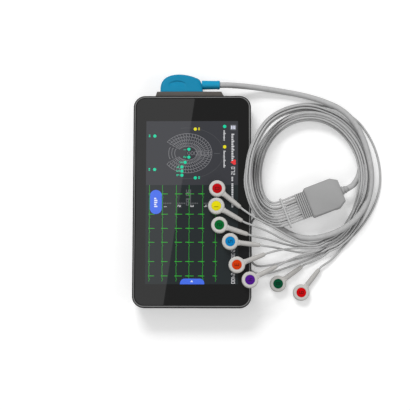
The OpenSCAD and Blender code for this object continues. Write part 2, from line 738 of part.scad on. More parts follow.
module rocker_pin() {
    color("#a0a0a0") translate([pin_x, rocker_y, edge_z - key_h / 2 - flange_over - lug_gap - lug_t])
        cylinder(d = rocker_pin_d, h = key_h + 2 * flange_over + 2 * lug_gap + lug_t + lug_top);
}

// ---- Plug
hood_x0 = -26.8;
hood_arch = [-10.5, 4.7, 10];
hood_left = [-19.8, 5.2, 6.6];
hood_right = [2.6, 5.2, 5.9];
hood_room = 60;
insert_y0 = block_face - insert_depth;
module hood_outline(d) {
    hull() {
        for (c = [hood_arch, hood_left, hood_right])
            translate([c[0], hood_y + c[1]]) circle(c[2] - d, $fn = 32);
        translate([hood_x0 + 1.6, hood_y + 1.2]) circle(1.2 - d / 2, $fn = 16);
        translate([relief_x0, hood_y + 1.2]) circle(1.2 - d / 2, $fn = 16);
    }
}
hood_round = 1.6;
module plug_hood() {
    color("#2099bf") difference() {
        intersection() {
            translate([0, 0, plug_z]) hull() {
                translate([0, 0, -hood_t / 2]) linear_extrude(hood_t) hood_outline(hood_round);
                translate([0, 0, -hood_t / 2 + hood_round])
                    linear_extrude(hood_t - 2 * hood_round) hood_outline(0);
            }
            translate([-hood_room, hood_y, 0]) cube([2 * hood_room, hood_room, hood_room]);
        }
        translate([socket_x - insert_w / 2 - 0.1, hood_y - 1, plug_z - insert_h / 2 - 0.1])
            cube([insert_w + 0.2, 5, insert_h + 0.2]);
        translate([relief_x0 - 0.05, relief_y, plug_z]) rotate([0, 90, 0])
            cylinder(d = relief_d0 + 0.04, h = 6);
    }
}
module plug_insert() {
    color("#20242a") difference() {
        translate([socket_x - insert_w / 2, insert_y0, plug_z - insert_h / 2])
            cube([insert_w, insert_depth + 4, insert_h]);
        pin_grid() translate([0, 0, socket_wall])
            cylinder(d = pin_d + 0.5, h = insert_depth + 3 + socket_depth - insert_depth);
    }
}
module plug_pins() {
    color("#d4b03a") pin_grid() translate([0, 0, socket_depth + socket_wall + 0.4])
        cylinder(d = pin_d, h = 2);
}
module plug_relief() {
    color("#1a6fa5") translate([relief_x0, relief_y, plug_z]) rotate([0, 90, 0]) {
        cylinder(d = relief_d0, h = relief_x1 - relief_x0 - relief_cone);
        translate([0, 0, relief_x1 - relief_x0 - relief_cone])
            cylinder(d1 = relief_d0, d2 = relief_d1, h = relief_cone);
    }
}

// ---- Main cable
module main_cable_start() {
    coil_in = main_route[0];
    color("#a9a9a9") tube(concat(MAIN_FREE, [coil_in]), main_d, 10);
}
module main_cable_coil() {
    color("#a9a9a9") tube(main_route, main_d, 6);
}
module main_cable_end() {
    from = main_route[len(main_route) - 1];
    color("#a9a9a9") tube(concat([from], MAIN_TAIL, [collar_end]), main_d, 10);
}

// ---- Yoke
module at_yoke() {
    translate([yoke_c[0], yoke_c[1], yoke_mid]) rotate([0, 0, yoke_turn]) children();
}
chamfer_x = 6;
chamfer_y = 4;
module yoke_outline(d) {
    x = yoke_l / 2 - d;
    y = yoke_w / 2 - d;
    hull() {
        translate([-x + 1.5, -y + 1.5]) circle(1.5, $fn = 16);
        translate([-x + 1.5, y - 1.5]) circle(1.5, $fn = 16);
        translate([x - chamfer_x, -y + 1]) circle(1, $fn = 16);
        translate([x - chamfer_x, y - 1]) circle(1, $fn = 16);
        translate([x - 1, -y + chamfer_y]) circle(1, $fn = 16);
        translate([x - 1, y - chamfer_y]) circle(1, $fn = 16);
    }
}
module yoke_half(up) {
    mirror([0, 0, up ? 0 : 1]) difference() {
        union() {
            translate([0, 0, 0.05]) linear_extrude(yoke_t / 2 - 1) yoke_outline(0);
            translate([0, 0, 0.05]) linear_extrude(yoke_t / 2 - 0.05) yoke_outline(0.8);
        }
        translate([0, 0, -1]) linear_extrude(yoke_t / 2 - yoke_wall + 1) yoke_outline(yoke_wall + 0.4);
        translate([-yoke_l, -relief_w / 2 + 0.8, -1]) cube([yoke_l, relief_w - 1.6, 1 + 2]);
        translate([0, 0, 0]) rotate([0, 90, 0]) cylinder(d = 5.2, h = yoke_l);
    }
}
module yoke_top() {
    color("#a0a0a0") at_yoke() yoke_half(true);
}
module yoke_bottom() {
    color("#989898") at_yoke() yoke_half(false);
}
module yoke_board() {
    color("#24633f") at_yoke() translate([-7, -9, -0.5]) cube([17, 18, 1]);
}
module yoke_relief() {
    color("#8f8f8f") at_yoke() {
        union() {
            for (i = [0 : relief_ribs - 1])
                translate([-yoke_l / 2 - 0.4 - rib_t - i * rib_pitch, -relief_w / 2, -relief_h / 2])
                    cube([rib_t, relief_w, relief_h]);
            translate([-yoke_l / 2 - relief_len + 0.6, -relief_w / 2 + 0.8, -1.6])
                cube([relief_len + 1.4, relief_w - 1.6, 3.2]);
        }
    }
}
module yoke_collar() {
    color("#9a9a9a") at_yoke() rotate([0, 90, 0]) {
        translate([0, 0, yoke_l / 2 - 2]) cylinder(d = collar_core, h = collar_len + 2);
        for (r = collar_rings) translate([0, 0, yoke_l / 2 + r[0]]) cylinder(d = r[1], h = r[2]);
    }
}
comb_gap = 0.3;
module wire_comb() {
    color("#b4b4b4") at_yoke() difference() {
        translate([comb_x - comb_t / 2, -comb_w / 2 - 1.5, -comb_h / 2])
            cube([comb_t, comb_w + 1.5, comb_h]);
        for (k = [0 : 9])
            translate([comb_x - comb_t, ribbon_y(k), 0]) rotate([0, 90, 0])
                cylinder(d = lead_d + 2 * comb_gap * 0.5, h = 2 * comb_t);
    }
}

// ---- Leads
module lead_coil() {
    color("#bcbcbc") for (k = [0 : 9]) tube(lead_route(k), lead_d, 6);
}
module lead_ends() {
    color("#c0c0c0") for (k = [0 : 9]) {
        r = lead_route(k);
        tip = boot_tip(SNAPS[k]);
        tube(concat([r[len(r) - 1]], LEAD_FREE[k], [tip + 2 * boot_way(SNAPS[k]), tip]), lead_d, 8);
    }
}

// ---- Snaps
cup_d = stud_d + 2;
module at_snaps() {
    for (s = SNAPS) translate([s[0], s[1], s[2]]) rotate([0, 0, s[3]]) children();
}
module snap_heads() {
    color("#c8c8c8") at_snaps() difference() {
        union() {
            cylinder(d = snap_d, h = snap_h - 0.8);
            translate([0, 0, snap_h - 0.8]) cylinder(d1 = snap_d, d2 = snap_d - 1.4, h = 0.8);
        }
        translate([0, 0, -1]) cylinder(d = cup_d + 0.1, h = stud_depth + 1);
        translate([0, 0, snap_h - 0.8]) cylinder(d = disc_d + 0.1, h = 2);
        translate([boot_start, -snap_d, -1]) cube([2, 2 * snap_d, 0.5]);
    }
}
module snap_springs() {
    color("#b0b3b6") at_snaps() translate([0, 0, 0.05]) difference() {
        cylinder(d = cup_d, h = stud_depth - 0.1);
        translate([0, 0, -1]) cylinder(d = stud_d + 0.1, h = stud_depth + 2);
    }
}
module snap_boots() {
    color("#bdbdbd") at_snaps() difference() {
        translate([boot_start - 1.4, 0, boot_z]) rotate([0, 90, 0])
            cylinder(r1 = boot_r0, r2 = boot_r1, h = boot_l + 1.4);
        translate([0, 0, -1]) cylinder(d = snap_d + 0.04, h = snap_h + 2);
    }
}
module disc(k, c) {
    s = SNAPS[k];
    color(c) translate([s[0], s[1], s[2] + snap_h - 0.8 + 0.02]) cylinder(d = disc_d, h = 0.7);
}
module disc_red() disc(0, "#cc1020");
module disc_yellow() disc(1, "#e8dc20");
module disc_green() disc(2, "#0c7034");
module disc_orange() disc(3, "#e05014");
module disc_purple() disc(4, "#5a1e96");
module disc_blue() disc(5, "#1090d2");
module disc_white() disc(6, "#ececec");
module disc_black() disc(7, "#181818");
module disc_dark_green() disc(8, "#06603c");
module disc_crimson() disc(9, "#d80a14");

back_cover();
top_cap();
front_frame();
cover_glass();
display_panel();
mid_frame();
seal_ring();
connector_block();
socket_shell();
socket_pins();
camera_ring();
camera_lens();
label_plate();
speaker();
charge_contacts();
charge_socket();
main_board();
shield_cans();
ecg_board();
battery();
key_board();
case_screws();
screw_caps();
power_key();
volume_rocker();
rocker_pin();
function_key();
plug_hood();
plug_insert();
plug_pins();
plug_relief();
main_cable_start();
main_cable_coil();
main_cable_end();
yoke_top();
yoke_bottom();
yoke_board();
yoke_relief();
yoke_collar();
wire_comb();
lead_coil();
lead_ends();
snap_heads();
snap_boots();
snap_springs();
disc_red();
disc_yellow();
disc_green();
disc_blue();
disc_orange();
disc_purple();
disc_dark_green();
disc_crimson();
disc_white();
disc_black();
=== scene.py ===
"""A handheld heart-signal monitor on its back, with its patient cable and snap leads beside it."""
import math
import random

import bmesh
import bpy
from mathutils import Matrix, Vector


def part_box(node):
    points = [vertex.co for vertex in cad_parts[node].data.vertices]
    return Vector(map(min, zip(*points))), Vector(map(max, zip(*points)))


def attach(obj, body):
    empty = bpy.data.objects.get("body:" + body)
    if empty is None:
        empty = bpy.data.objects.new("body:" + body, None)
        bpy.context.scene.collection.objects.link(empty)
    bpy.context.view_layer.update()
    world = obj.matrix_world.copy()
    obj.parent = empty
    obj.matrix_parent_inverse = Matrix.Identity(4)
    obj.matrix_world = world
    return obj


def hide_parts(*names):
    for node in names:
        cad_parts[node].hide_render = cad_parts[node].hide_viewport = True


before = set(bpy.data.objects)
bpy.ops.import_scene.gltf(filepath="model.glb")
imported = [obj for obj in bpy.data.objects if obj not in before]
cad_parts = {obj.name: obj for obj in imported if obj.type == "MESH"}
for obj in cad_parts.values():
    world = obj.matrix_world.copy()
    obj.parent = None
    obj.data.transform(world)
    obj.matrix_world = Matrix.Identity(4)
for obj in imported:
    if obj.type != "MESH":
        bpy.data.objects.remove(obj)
for spare in ("Cube", "Light", "Camera"):
    if spare in bpy.data.objects:
        bpy.data.objects.remove(bpy.data.objects[spare])
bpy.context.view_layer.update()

# Sizes and places are written in millimetres and turned into metres by MM.
MM = 0.001


def metres(points):
    """The points, in millimetres, as vectors in metres."""
    return [Vector(p) * MM for p in points]


# ---- Camera: fitted to the outline of the case in the photograph
PHOTO_SIDE = 410
PHOTO_FOCAL = 1112.7
CAMERA_PLACE = Vector((30.4, -103.1, 913.2)) * MM
CAMERA_PITCH = math.radians(6.36)
CAMERA_ROLL = math.radians(1.26)
SENSOR = 36.0
CLIP_NEAR = 0.01
CLIP_FAR = 50


def make_camera():
    """A camera at the photograph's place, tilted and rolled as it was."""
    data = bpy.data.cameras.new("studio_camera")
    data.sensor_width = SENSOR
    data.lens = PHOTO_FOCAL * SENSOR / PHOTO_SIDE
    data.clip_start = CLIP_NEAR
    data.clip_end = CLIP_FAR
    camera = bpy.data.objects.new("studio_camera", data)
    bpy.context.scene.collection.objects.link(camera)
    turn = Matrix.Rotation(CAMERA_PITCH, 4, "X") @ Matrix.Rotation(CAMERA_ROLL, 4, "Y")
    camera.matrix_world = Matrix.Translation(CAMERA_PLACE) @ turn
    bpy.context.scene.camera = camera


make_camera()

# ---- Cords: the ring of cable, in the same lanes as the solids
# The ring is an oval: its middle, and its inner edge's half width and half length
RING_C = (96.5, 21.5)
RING_A = 41.0
RING_B = 48.0
MAIN_D = 4.8
LEAD_D = 1.7
LEADS = 10
BODY_T = 19.0
YOKE_C = (108.2, 4.0)
YOKE_TURN = math.radians(21)
YOKE_L = 29.0
YOKE_MID = 9.4
RELIEF_L = 8.0
COLLAR_L = 5.5
STRAIGHT_X = -37.0
LEAD_PITCH = 2.2
HEAD_R = 6.7
BOOT_START = HEAD_R - 0.4
BOOT_L = 18.0
BOOT_Z = 2.2
ON_GLASS = BODY_T + 0.3
# Snaps: name of the disc's tint, x, y, height of the underside and the way the boot points in degrees
SNAPS = [
    ("red", 20.5, 9.5, ON_GLASS, -39),
    ("yellow", 19.8, -4.6, ON_GLASS, -30),
    ("green", 22.3, -20.0, ON_GLASS, -18),
    ("orange", 36.3, -52.0, ON_GLASS, 21),
    ("purple", 46.8, -64.0, ON_GLASS, 27),
    ("blue", 31.0, -33.3, ON_GLASS, -7),
    ("white", 117.4, 1.1, 0.0, 201),
    ("black", 99.0, 6.9, 0.0, 201),
    ("dark_green", 70.0, -66.3, 0.0, 36),
    ("crimson", 88.8, -73.4, 0.0, 52),
]

# The main cable's lane: how far out (U) and how high (Z) it lies, each as keys (angle, value).
# Its free ends run from the plug's sleeve into the ring, and from the ring to the yoke's collar.
MAIN_FLOOR = MAIN_D / 2 + 0.05
MAIN_IN = 2.7
MAIN_START = 68
MAIN_END = -340
MAIN_U = [(70, 15.4), (12, 9), (-15, 9), (-80, 2.6), (-110, MAIN_IN)]
MAIN_Z = [(68, 5.1), (20, 6.9), (-58, 6.9), (-92, MAIN_FLOOR), (-116, MAIN_FLOOR),
          (-130, MAIN_FLOOR + 2.2), (-165, MAIN_FLOOR + 2.2), (-182, MAIN_FLOOR)]
MAIN_HEAD = (22.4, 97.4, 9.5)
MAIN_FREE = [MAIN_HEAD, (28.4, 97.4, 9.5), (40, 97, 7.6), (56, 95.8, 4.6),
             (73, 93.4, 2.9), (90, 90.2, 2.9), (103, 86.4, 3.8)]
MAIN_TAIL = [(138.2, 28, 3), (136.6, 22.2, 4), (133.6, 17, 6), (130.8, 13.6, 8.6)]

# The leads' lanes. The first RIDERS leads lie over the main cable, at a distance from its middle
# and an angle that starts and steps from lead to lead, and then settle in a row beside it.
RIDERS = 5
SADDLE_EVEN = (3.9, 150, 30)
SADDLE_ODD = (5.45, 134, 22)
ROW_IN = 0.9
ROW_STEP = 1.1
LEAD_FLOOR = LEAD_D / 2 + 0.15
ROW_UP = 2.05
RIM_UP = BODY_T + LEAD_D / 2 + 0.35
LIFT = [(190, 3.2), (168, 0), (48, 0), (14, 2.8), (2, 4.4)]
LIFT_LAST = 100
SETTLE = [(-14, 0), (-34, 1)]
SHIFT = [(-26, 0), (-72, 4.6)]
# The others lie in a pile outside it, and the last one bows out of the pile as a strand of its own.
PILE_U = [(152, 7.4), (128, 8.6), (96, 8.6), (70, 6.7), (20, 6.7), (-20, 7.6)]
PILE_Z = [(194, RIM_UP + 0.9), (178, RIM_UP), (152, RIM_UP), (92, LEAD_FLOOR)]
PILE_PITCH = [(190, 2.9), (172, 2.2), (150, 2.2), (90, 2.6), (20, 2.6), (-20, 2.2)]
BOW_LEAD = 9
BOW = [(95, 0), (40, 1)]
BOW_U = [(0, 17.1), (-42, 14.6)]
# Where the leads join the ring and leave it, in degrees, how far their bends into it reach, as a share
# of the gap, how high each arches there, and their ways from the ring to the boots.
JOIN_FIRST = 190
JOIN_STEP = 0.8
LEAVE = -72
BOW_LEAVE = -50
BEND_REACH = 0.42
BEND_STEPS = 8
BOOT_STRAIGHT = 2
ARCH = [0, 2, 0, 2, 0, 0, 3.4, 0, 2, 0]
LEAD_FREE = [
    [(103, -32.8, 1.3), (92, -32.8, 3.2), (80, -28.2, 7.5), (66, -21, 14.2), (52, -14.4, 20)],
    [(103, -34.9, 3.2), (90, -35.2, 5), (76, -31.4, 9.4), (62, -24.8, 16), (50, -20.4, 20.2)],
    [(104, -35.6, 1.1), (92, -36.8, 1.8), (77, -34.6, 7.2), (62, -31, 15.5), (52, -29.2, 20)],
    [(104, -36.3, 4.9), (92, -37.4, 7.2), (78, -38.4, 12.8), (68, -40.4, 18.5)],
    [(104, -38.7, 4.3), (93, -41.8, 6.8), (84, -45.2, 11), (75, -49.6, 18)],
    [(104, -39.2, 1.1), (92, -40.8, 2.4), (80, -39.6, 7.4), (67, -37.6, 16)],
    [(104, -40.9, 2.6), (92, -44.4, 1.1), (61, -51.4, 1.1), (53, -51.6, 1.1), (48.9, -48.4, 1.1),
     (48.1, -42, 1.1), (48.1, -20, 1.1), (49, -15, 1.1), (52.6, -11.2, 1.1), (58, -10.6, 1.1),
     (72, -15, 1.1), (82, -13.8, 1.3)],
    [(104, -42.5, 1.1), (63, -57.4, 1.1), (52.4, -58, 1.1), (46.8, -54, 1.1), (45.8, -47, 1.1),
     (45.8, -10, 1.1), (46.8, -3.8, 1.1), (50.6, 0.2, 1.1), (55.4, -0.4, 1.1), (64, -4.6, 1.1),
     (71, -4.4, 1.4)],
    [(106, -44.2, 1.1), (97.6, -48.4, 1.5)],
    [(124, -35.6, 1.1), (113.2, -46.8, 1.4)],
]
# Steps between the points of a route: in degrees round the ring, and in millimetres along a curve
LANE_STEP = 4
CORD_STEP = 1.6
JACKET_RINGS = 4


def lerp(a, b, t):
    """The value t of the way from a to b."""
    return a + (b - a) * t


def smooth(t):
    """t held between 0 and 1, and eased at both ends."""
    t = min(max(t, 0), 1)
    return t * t * (3 - 2 * t)


def keyed(keys, angle):
    """Value at the angle between keys (angle, value), which are listed with falling angles."""
    if angle >= keys[0][0]:
        return keys[0][1]
    for (a, before), (b, after) in zip(keys, keys[1:]):
        if angle >= b:
            return lerp(before, after, smooth((a - angle) / (a - b)))
    return keys[-1][1]


def ring_point(angle, u, z):
    """Point of the ring at the angle, u outside its inner edge and z up."""
    a = math.radians(angle)
    return Vector((RING_C[0] + (RING_A + u) * math.cos(a), RING_C[1] + (RING_B + u) * math.sin(a), z))


def ring_way(angle, u):
    """Direction of clockwise travel on the ring."""
    a = math.radians(angle)
    return Vector(((RING_A + u) * math.sin(a), -(RING_B + u) * math.cos(a), 0)).normalized()


def yoke_point(x, y, z):
    """A point given in the yoke's own frame."""
    c, s = math.cos(YOKE_TURN), math.sin(YOKE_TURN)
    return Vector((YOKE_C[0] + x * c - y * s, YOKE_C[1] + x * s + y * c, z))


YOKE_WAY = Vector((math.cos(YOKE_TURN), math.sin(YOKE_TURN), 0))


def pile(j, angle):
    """Where lead j of the pile lies across the ring at the angle."""
    return (keyed(PILE_U, angle) + j * keyed(PILE_PITCH, angle) / 2, keyed(PILE_Z, angle) + (j % 2) * ROW_UP)


def lane(k, angle):
    """Where lead k lies across the ring at the angle: how far out, and how high."""
    shift = keyed(SHIFT, angle)
    if k < RIDERS:
        radius, start, step = SADDLE_ODD if k % 2 else SADDLE_EVEN
        turn = math.radians(start - step * k)
        lift = keyed(LIFT, angle) if k < RIDERS - 1 or angle > LIFT_LAST else 0
        high = (MAIN_IN + radius * math.cos(turn), MAIN_FLOOR + radius * math.sin(turn) + lift)
        low = (ROW_IN + ROW_STEP * k + shift, LEAD_FLOOR + (k % 2) * ROW_UP)
        t = keyed(SETTLE, angle)
    else:
        high = pile(k - RIDERS, angle)
        low = (keyed(BOW_U, angle), LEAD_FLOOR)
        t = keyed(BOW, angle) if k == BOW_LEAD else 0
        if k < BOW_LEAD:
            high = (high[0] + shift, high[1])
    return lerp(high[0], low[0], t), lerp(high[1], low[1], t)


def lead_at(k, angle):
    """Point of lead k in the ring at the angle."""
    return ring_point(angle, *lane(k, angle))


def ribbon_y(k):
    """Where lead k lies across the straight ribbon in front of the yoke."""
    return ((LEADS - 1) / 2 - k) * LEAD_PITCH


def bezier(p, q, r, s, t):
    """Point at t on the curve from p to s that q and r draw out."""
    return p * (1 - t) ** 3 + 3 * q * t * (1 - t) ** 2 + 3 * r * t * t * (1 - t) + s * t ** 3


def falling(start, end):
    """Angles from start down to end, about LANE_STEP apart."""
    n = math.ceil((start - end) / LANE_STEP)
    return [start + (end - start) * i / n for i in range(n + 1)]


def eased(points):
    """A smooth curve through the points: a centripetal spline, sampled every CORD_STEP or so."""
    p = [points[0] * 2 - points[1], *points, points[-1] * 2 - points[-2]]
    made = []
    for a, b, c, d in zip(p, p[1:], p[2:], p[3:]):
        t1 = (b - a).length ** 0.5
        t2 = t1 + (c - b).length ** 0.5
        t3 = t2 + (d - c).length ** 0.5
        n = max(1, round((c - b).length / CORD_STEP))
        for i in range(n):
            t = lerp(t1, t2, i / n)
            ab = lerp(a, b, t / t1)
            bc = lerp(b, c, (t - t1) / (t2 - t1))
            cd = lerp(c, d, (t - t2) / (t3 - t2))
            abc = lerp(ab, bc, t / t2)
            bcd = lerp(bc, cd, (t - t1) / (t3 - t1))
            made.append(lerp(abc, bcd, (t - t1) / (t2 - t1)))
    return [*made, points[-1]]


def boot_way(snap):
    """The way that the snap's boot points, out of its head."""
    a = math.radians(snap[4])
    return Vector((math.cos(a), math.sin(a), 0))


def boot_tip(snap):
    """Point where the lead enters the snap's boot."""
    return Vector((snap[1], snap[2], snap[3] + BOOT_Z)) + (BOOT_START + BOOT_L) * boot_way(snap)


def lead_route(k):
    """Centreline of lead k, from the yoke's relief to the tip of its boot."""
    join = JOIN_FIRST + JOIN_STEP * k
    leave = BOW_LEAVE if k == BOW_LEAD else LEAVE
    start = yoke_point(STRAIGHT_X, ribbon_y(k), YOKE_MID)
    ring = lead_at(k, join)
    h = BEND_REACH * (ring - start).length
    arch = Vector((0, 0, ARCH[k]))
    u = lane(k, join)[0]
    points = [yoke_point(-YOKE_L / 2 - RELIEF_L, ribbon_y(k), YOKE_MID)]
    points += [bezier(start, start - h * YOKE_WAY, ring - h * ring_way(join, u) + arch, ring, i / BEND_STEPS)
               for i in range(BEND_STEPS)]
    points += [lead_at(k, a) for a in falling(join, leave)]
    points.append(points[-1] + LEAD_D * ring_way(leave, lane(k, leave)[0]))
    points += [Vector(p) for p in LEAD_FREE[k]]
    tip = boot_tip(SNAPS[k])
    return eased([*points, tip + BOOT_STRAIGHT * boot_way(SNAPS[k]), tip])


def main_route():
    """Centreline of the main cable, from the plug's relief round the ring to the yoke's collar."""
    def at(a):
        """Point of the ring at the angle a."""
        return ring_point(a, keyed(MAIN_U, a), keyed(MAIN_Z, a))
    points = [Vector(p) for p in MAIN_FREE]
    points.append(at(MAIN_START) - MAIN_D * ring_way(MAIN_START, MAIN_U[0][1]))
    points += [at(a) for a in falling(MAIN_START, MAIN_END)]
    points.append(at(MAIN_END) + MAIN_D * ring_way(MAIN_END, MAIN_IN))
    points += [Vector(p) for p in MAIN_TAIL]
    return eased([*points, yoke_point(YOKE_L / 2 + COLLAR_L, 0, YOKE_MID)])


def make_cord(name, route, diameter, slot, *nodes):
    """A round jacket along the route, as a curve of one open spline, in place of the nodes."""
    data = bpy.data.curves.new(name, "CURVE")
    data.dimensions = "3D"
    data.bevel_depth = 1.0
    data.bevel_resolution = JACKET_RINGS
    data.use_fill_caps = True
    spline = data.splines.new("POLY")
    spline.points.add(len(route) - 1)
    for point, place in zip(spline.points, route):
        point.co = (*(place * MM), 1)
        point.radius = diameter / 2 * MM
    spline.use_smooth = True
    cord = bpy.data.objects.new(name, data)
    bpy.context.scene.collection.objects.link(cord)
    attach(cord, "cable")
    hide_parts(*nodes)
    return cord


def length_of(route):
    """Length of the route in metres."""
    return sum((b - a).length for a, b in zip(route, route[1:])) * MM


main_path = main_route()
lead_paths = [lead_route(k) for k in range(LEADS)]
main_cable = make_cord("main_cable", main_path, MAIN_D, "main_jacket",
                       "main_cable_start", "main_cable_coil", "main_cable_end")
lead_cords = [make_cord("lead_" + snap[0], path, LEAD_D, "lead_jacket", "lead_coil", "lead_ends")
              for snap, path in zip(SNAPS, lead_paths)]


# ---- Finishes: shader maths on wrapped sockets
class Value:
    """A socket of a finish that takes part in sums, which it makes with Math nodes."""

    def __init__(self, finish, socket):
        self.finish = finish
        self.socket = socket

    def math(self, kind, *inputs):
        return self.finish.node("ShaderNodeMath", {"operation": kind}, dict(enumerate(inputs)))

    def __add__(self, other):
        return self.math("ADD", self, other)

    def __radd__(self, other):
        return self.math("ADD", other, self)

    def __sub__(self, other):
        return self.math("SUBTRACT", self, other)

    def __rsub__(self, other):
        return self.math("SUBTRACT", other, self)

    def __mul__(self, other):
        return self.math("MULTIPLY", self, other)

    def __rmul__(self, other):
        return self.math("MULTIPLY", other, self)

    def __truediv__(self, other):
        return self.math("DIVIDE", self, other)

    def __rtruediv__(self, other):
        return self.math("DIVIDE", other, self)

    def __abs__(self):
        return self.math("ABSOLUTE", self)

    def __pow__(self, other):
        return self.math("POWER", self, other)

    def above(self, limit, soft=0.0001):
        """1 where this is over the limit and 0 under it, over a soft step."""
        return self.finish.node("ShaderNodeMapRange", {"clamp": True},
                                {0: self, 1: limit - soft, 2: limit + soft})

    def fraction(self):
        return self.math("FRACT", self)

    def at_least(self, other):
        return self.math("MAXIMUM", self, other)

    def at_most(self, other):
        return self.math("MINIMUM", self, other)


def linear(level):
    """A display level from 0 to 255 as a linear value."""
    c = level / 255
    return c / 12.92 if c <= 0.04045 else ((c + 0.055) / 1.055) ** 2.4


def tint(*levels):
    """Display levels, one for a grey or three, as a linear colour."""
    three = levels * 3 if len(levels) == 1 else levels
    return (*(linear(v) for v in three), 1)


class Finish:
    """A Principled material, with its nodes laid by node()."""

    def __init__(self, name, color, rough, **sockets):
        self.material = bpy.data.materials.new(name)
        self.material.use_nodes = True
        self.tree = self.material.node_tree
        self.shader = self.tree.nodes["Principled BSDF"]
        self.color = color
        self.rough = rough
        self.set("Base Color", color)
        self.set("Roughness", rough)
        for socket, value in sockets.items():
            self.set(socket.replace("_", " "), value)
        self.place = self.node("ShaderNodeTexCoord", {}, {}, "Object")

    def set(self, socket, value):
        """Sets or links a socket of the shader."""
        self.put(self.shader.inputs[socket], value)

    def put(self, socket, value):
        """Links the socket to a Value, or sets it to anything else."""
        if isinstance(value, Value):
            self.tree.links.new(value.socket, socket)
        else:
            socket.default_value = value

    def node(self, kind, settings, inputs, output=0):
        """A node with its settings and inputs, as the value of one of its outputs."""
        made = self.tree.nodes.new(kind)
        for setting, value in settings.items():
            setattr(made, setting, value)
        for socket, value in inputs.items():
            self.put(made.inputs[socket], value)
        return Value(self, made.outputs[output])

    def axes(self):
        """The x, y and z of the shaded point in metres."""
        split = self.node("ShaderNodeSeparateXYZ", {}, {0: self.place})
        outputs = split.socket.node.outputs
        return [Value(self, outputs[i]) for i in range(3)]

    def noise(self, size, detail=2.0, rough=0.5, stretch=None):
        """Noise about 0.5 whose clouds are size millimetres wide."""
        place = self.place
        if stretch:
            place = self.node("ShaderNodeMapping", {}, {"Vector": place, "Scale": stretch})
        return self.node("ShaderNodeTexNoise", {},
                         {"Vector": place, "Scale": 1000 / size, "Detail": detail, "Roughness": rough})

    def mix(self, share, low, high):
        """The colour low where share is 0 and high where it is 1."""
        return self.node("ShaderNodeMix", {"data_type": "RGBA"}, {0: share, 6: low, 7: high}, 2)

    def paint(self, share, color):
        """Lays the colour over what is painted so far."""
        self.color = self.mix(share, self.color, color)
        self.set("Base Color", self.color)

    def shade(self, share, size, detail=2.0):
        """Lets the base colour wander up and down by the share."""
        wander = (self.noise(size, detail) - 0.5) * 2 * share + 1
        grey = self.node("ShaderNodeCombineXYZ", {}, {0: wander, 1: wander, 2: wander})
        self.color = self.node("ShaderNodeMix", {"data_type": "RGBA", "blend_type": "MULTIPLY"},
                               {0: 1.0, 6: self.color, 7: grey}, 2)
        self.set("Base Color", self.color)

    def wear(self, share, size):
        """Lets the roughness wander by the share."""
        self.set("Roughness", (self.noise(size, 3.0) - 0.5) * 2 * share + self.rough)

    def bump(self, height, distance):
        """A Bump of the height, distance millimetres deep."""
        self.set("Normal", self.node("ShaderNodeBump", {},
                                     {"Strength": 1.0, "Distance": distance * MM, "Height": height}))


# Clouds, brush marks and scuffs: widths in millimetres, and the shares that they change.
# The coarse grain's width is a multiple of the fine grain's.
COLOR_CLOUD = 6
GLOSS_CLOUD = 2.5
GLOSS_SHARE = 0.08
COARSE_GRAIN = 6
COARSE_SHARE = 0.6
METAL_CLOUD = 3
METAL_SHARE = 0.08
BRUSH = (1, 12, 1)
BRUSH_WIDTH = 0.8
BRUSH_DEPTH = 0.006
BRUSH_GLOSS = 0.25
SCUFF = 2.2
SCUFF_LIMIT = 0.62


def moulded(name, color, rough, grain=0.35, depth=0.02, wander=0.06, **sockets):
    """Moulded plastic: a fine spark-eroded grain, with slight clouds in colour and gloss."""
    finish = Finish(name, color, rough, **sockets)
    finish.shade(wander, COLOR_CLOUD)
    finish.wear(GLOSS_SHARE, GLOSS_CLOUD)
    coarse = finish.noise(grain * COARSE_GRAIN) * COARSE_SHARE
    finish.bump(finish.noise(grain, 3.0) + coarse, depth)
    return finish


def bare_metal(name, color, rough):
    """Plated or brushed metal, with fine lines along one way."""
    finish = Finish(name, color, rough, Metallic=1.0)
    finish.shade(METAL_SHARE, METAL_CLOUD)
    lines = finish.noise(BRUSH_WIDTH, 3.0, 0.6, BRUSH)
    finish.set("Roughness", lines * BRUSH_GLOSS + (rough - 0.12))
    finish.bump(lines, BRUSH_DEPTH)
    return finish


# ---- The finish of every kind of piece
BODY_W = 96.0
BODY_L = 173.0
PANEL_W = 74.7
PANEL_L = 132.8
PANEL_Y = -1.0
PANEL_R = 0.4
UPPER_END = 12.9
# The frame's painted highlight line: the corner's radius, the line's two sides inside the edge, and its
# depth
EDGE_R = 9.5
HIGHLIGHT_IN = -1.65
HIGHLIGHT_OUT = -1.0
LINE_DEEP = 2.5
FRAME_ROUGH = 0.35
# The relief's ribs: their top over its middle, how far under it a groove starts, and half a slit in pitches
RIB_TOP = 2.5
RIB_DROP = 0.3
SLIT = 0.2
# How far the painted shade darkens the grooves and the slits
GROOVE_SHADE_SHARE = 0.8
JACKET_TINT = tint(184)
SCUFF_SHARE = 0.12


def rounded_distance(finish, centre_y, width, length, radius):
    """Distance in metres inside (below 0) or outside a rounded rectangle about (0, centre_y)."""
    x, y, _ = finish.axes()
    across = abs(x) - (width / 2 - radius) * MM
    along = abs(y - centre_y * MM) - (length / 2 - radius) * MM
    out_x = across.at_least(0)
    out_y = along.at_least(0)
    corner = (out_x * out_x + out_y * out_y) ** 0.5
    return corner + across.at_least(along).at_most(0) - radius * MM


def make_glass():
    """Black cover glass, printed with the bezel and the two panels of the screen."""
    glass = Finish("cover_glass", tint(28), 0.015, IOR=1.5)
    inner = rounded_distance(glass, PANEL_Y, PANEL_W, PANEL_L, PANEL_R)
    _, y, _ = glass.axes()
    lower = tint(37, 43, 45)
    upper = tint(58, 59, 64)
    panel = glass.mix(y.above(UPPER_END * MM), lower, upper)
    glass.color = glass.mix(inner.above(0), panel, tint(24))
    glass.shade(0.03, 40)
    glass.wear(0.004, 12)
    return glass


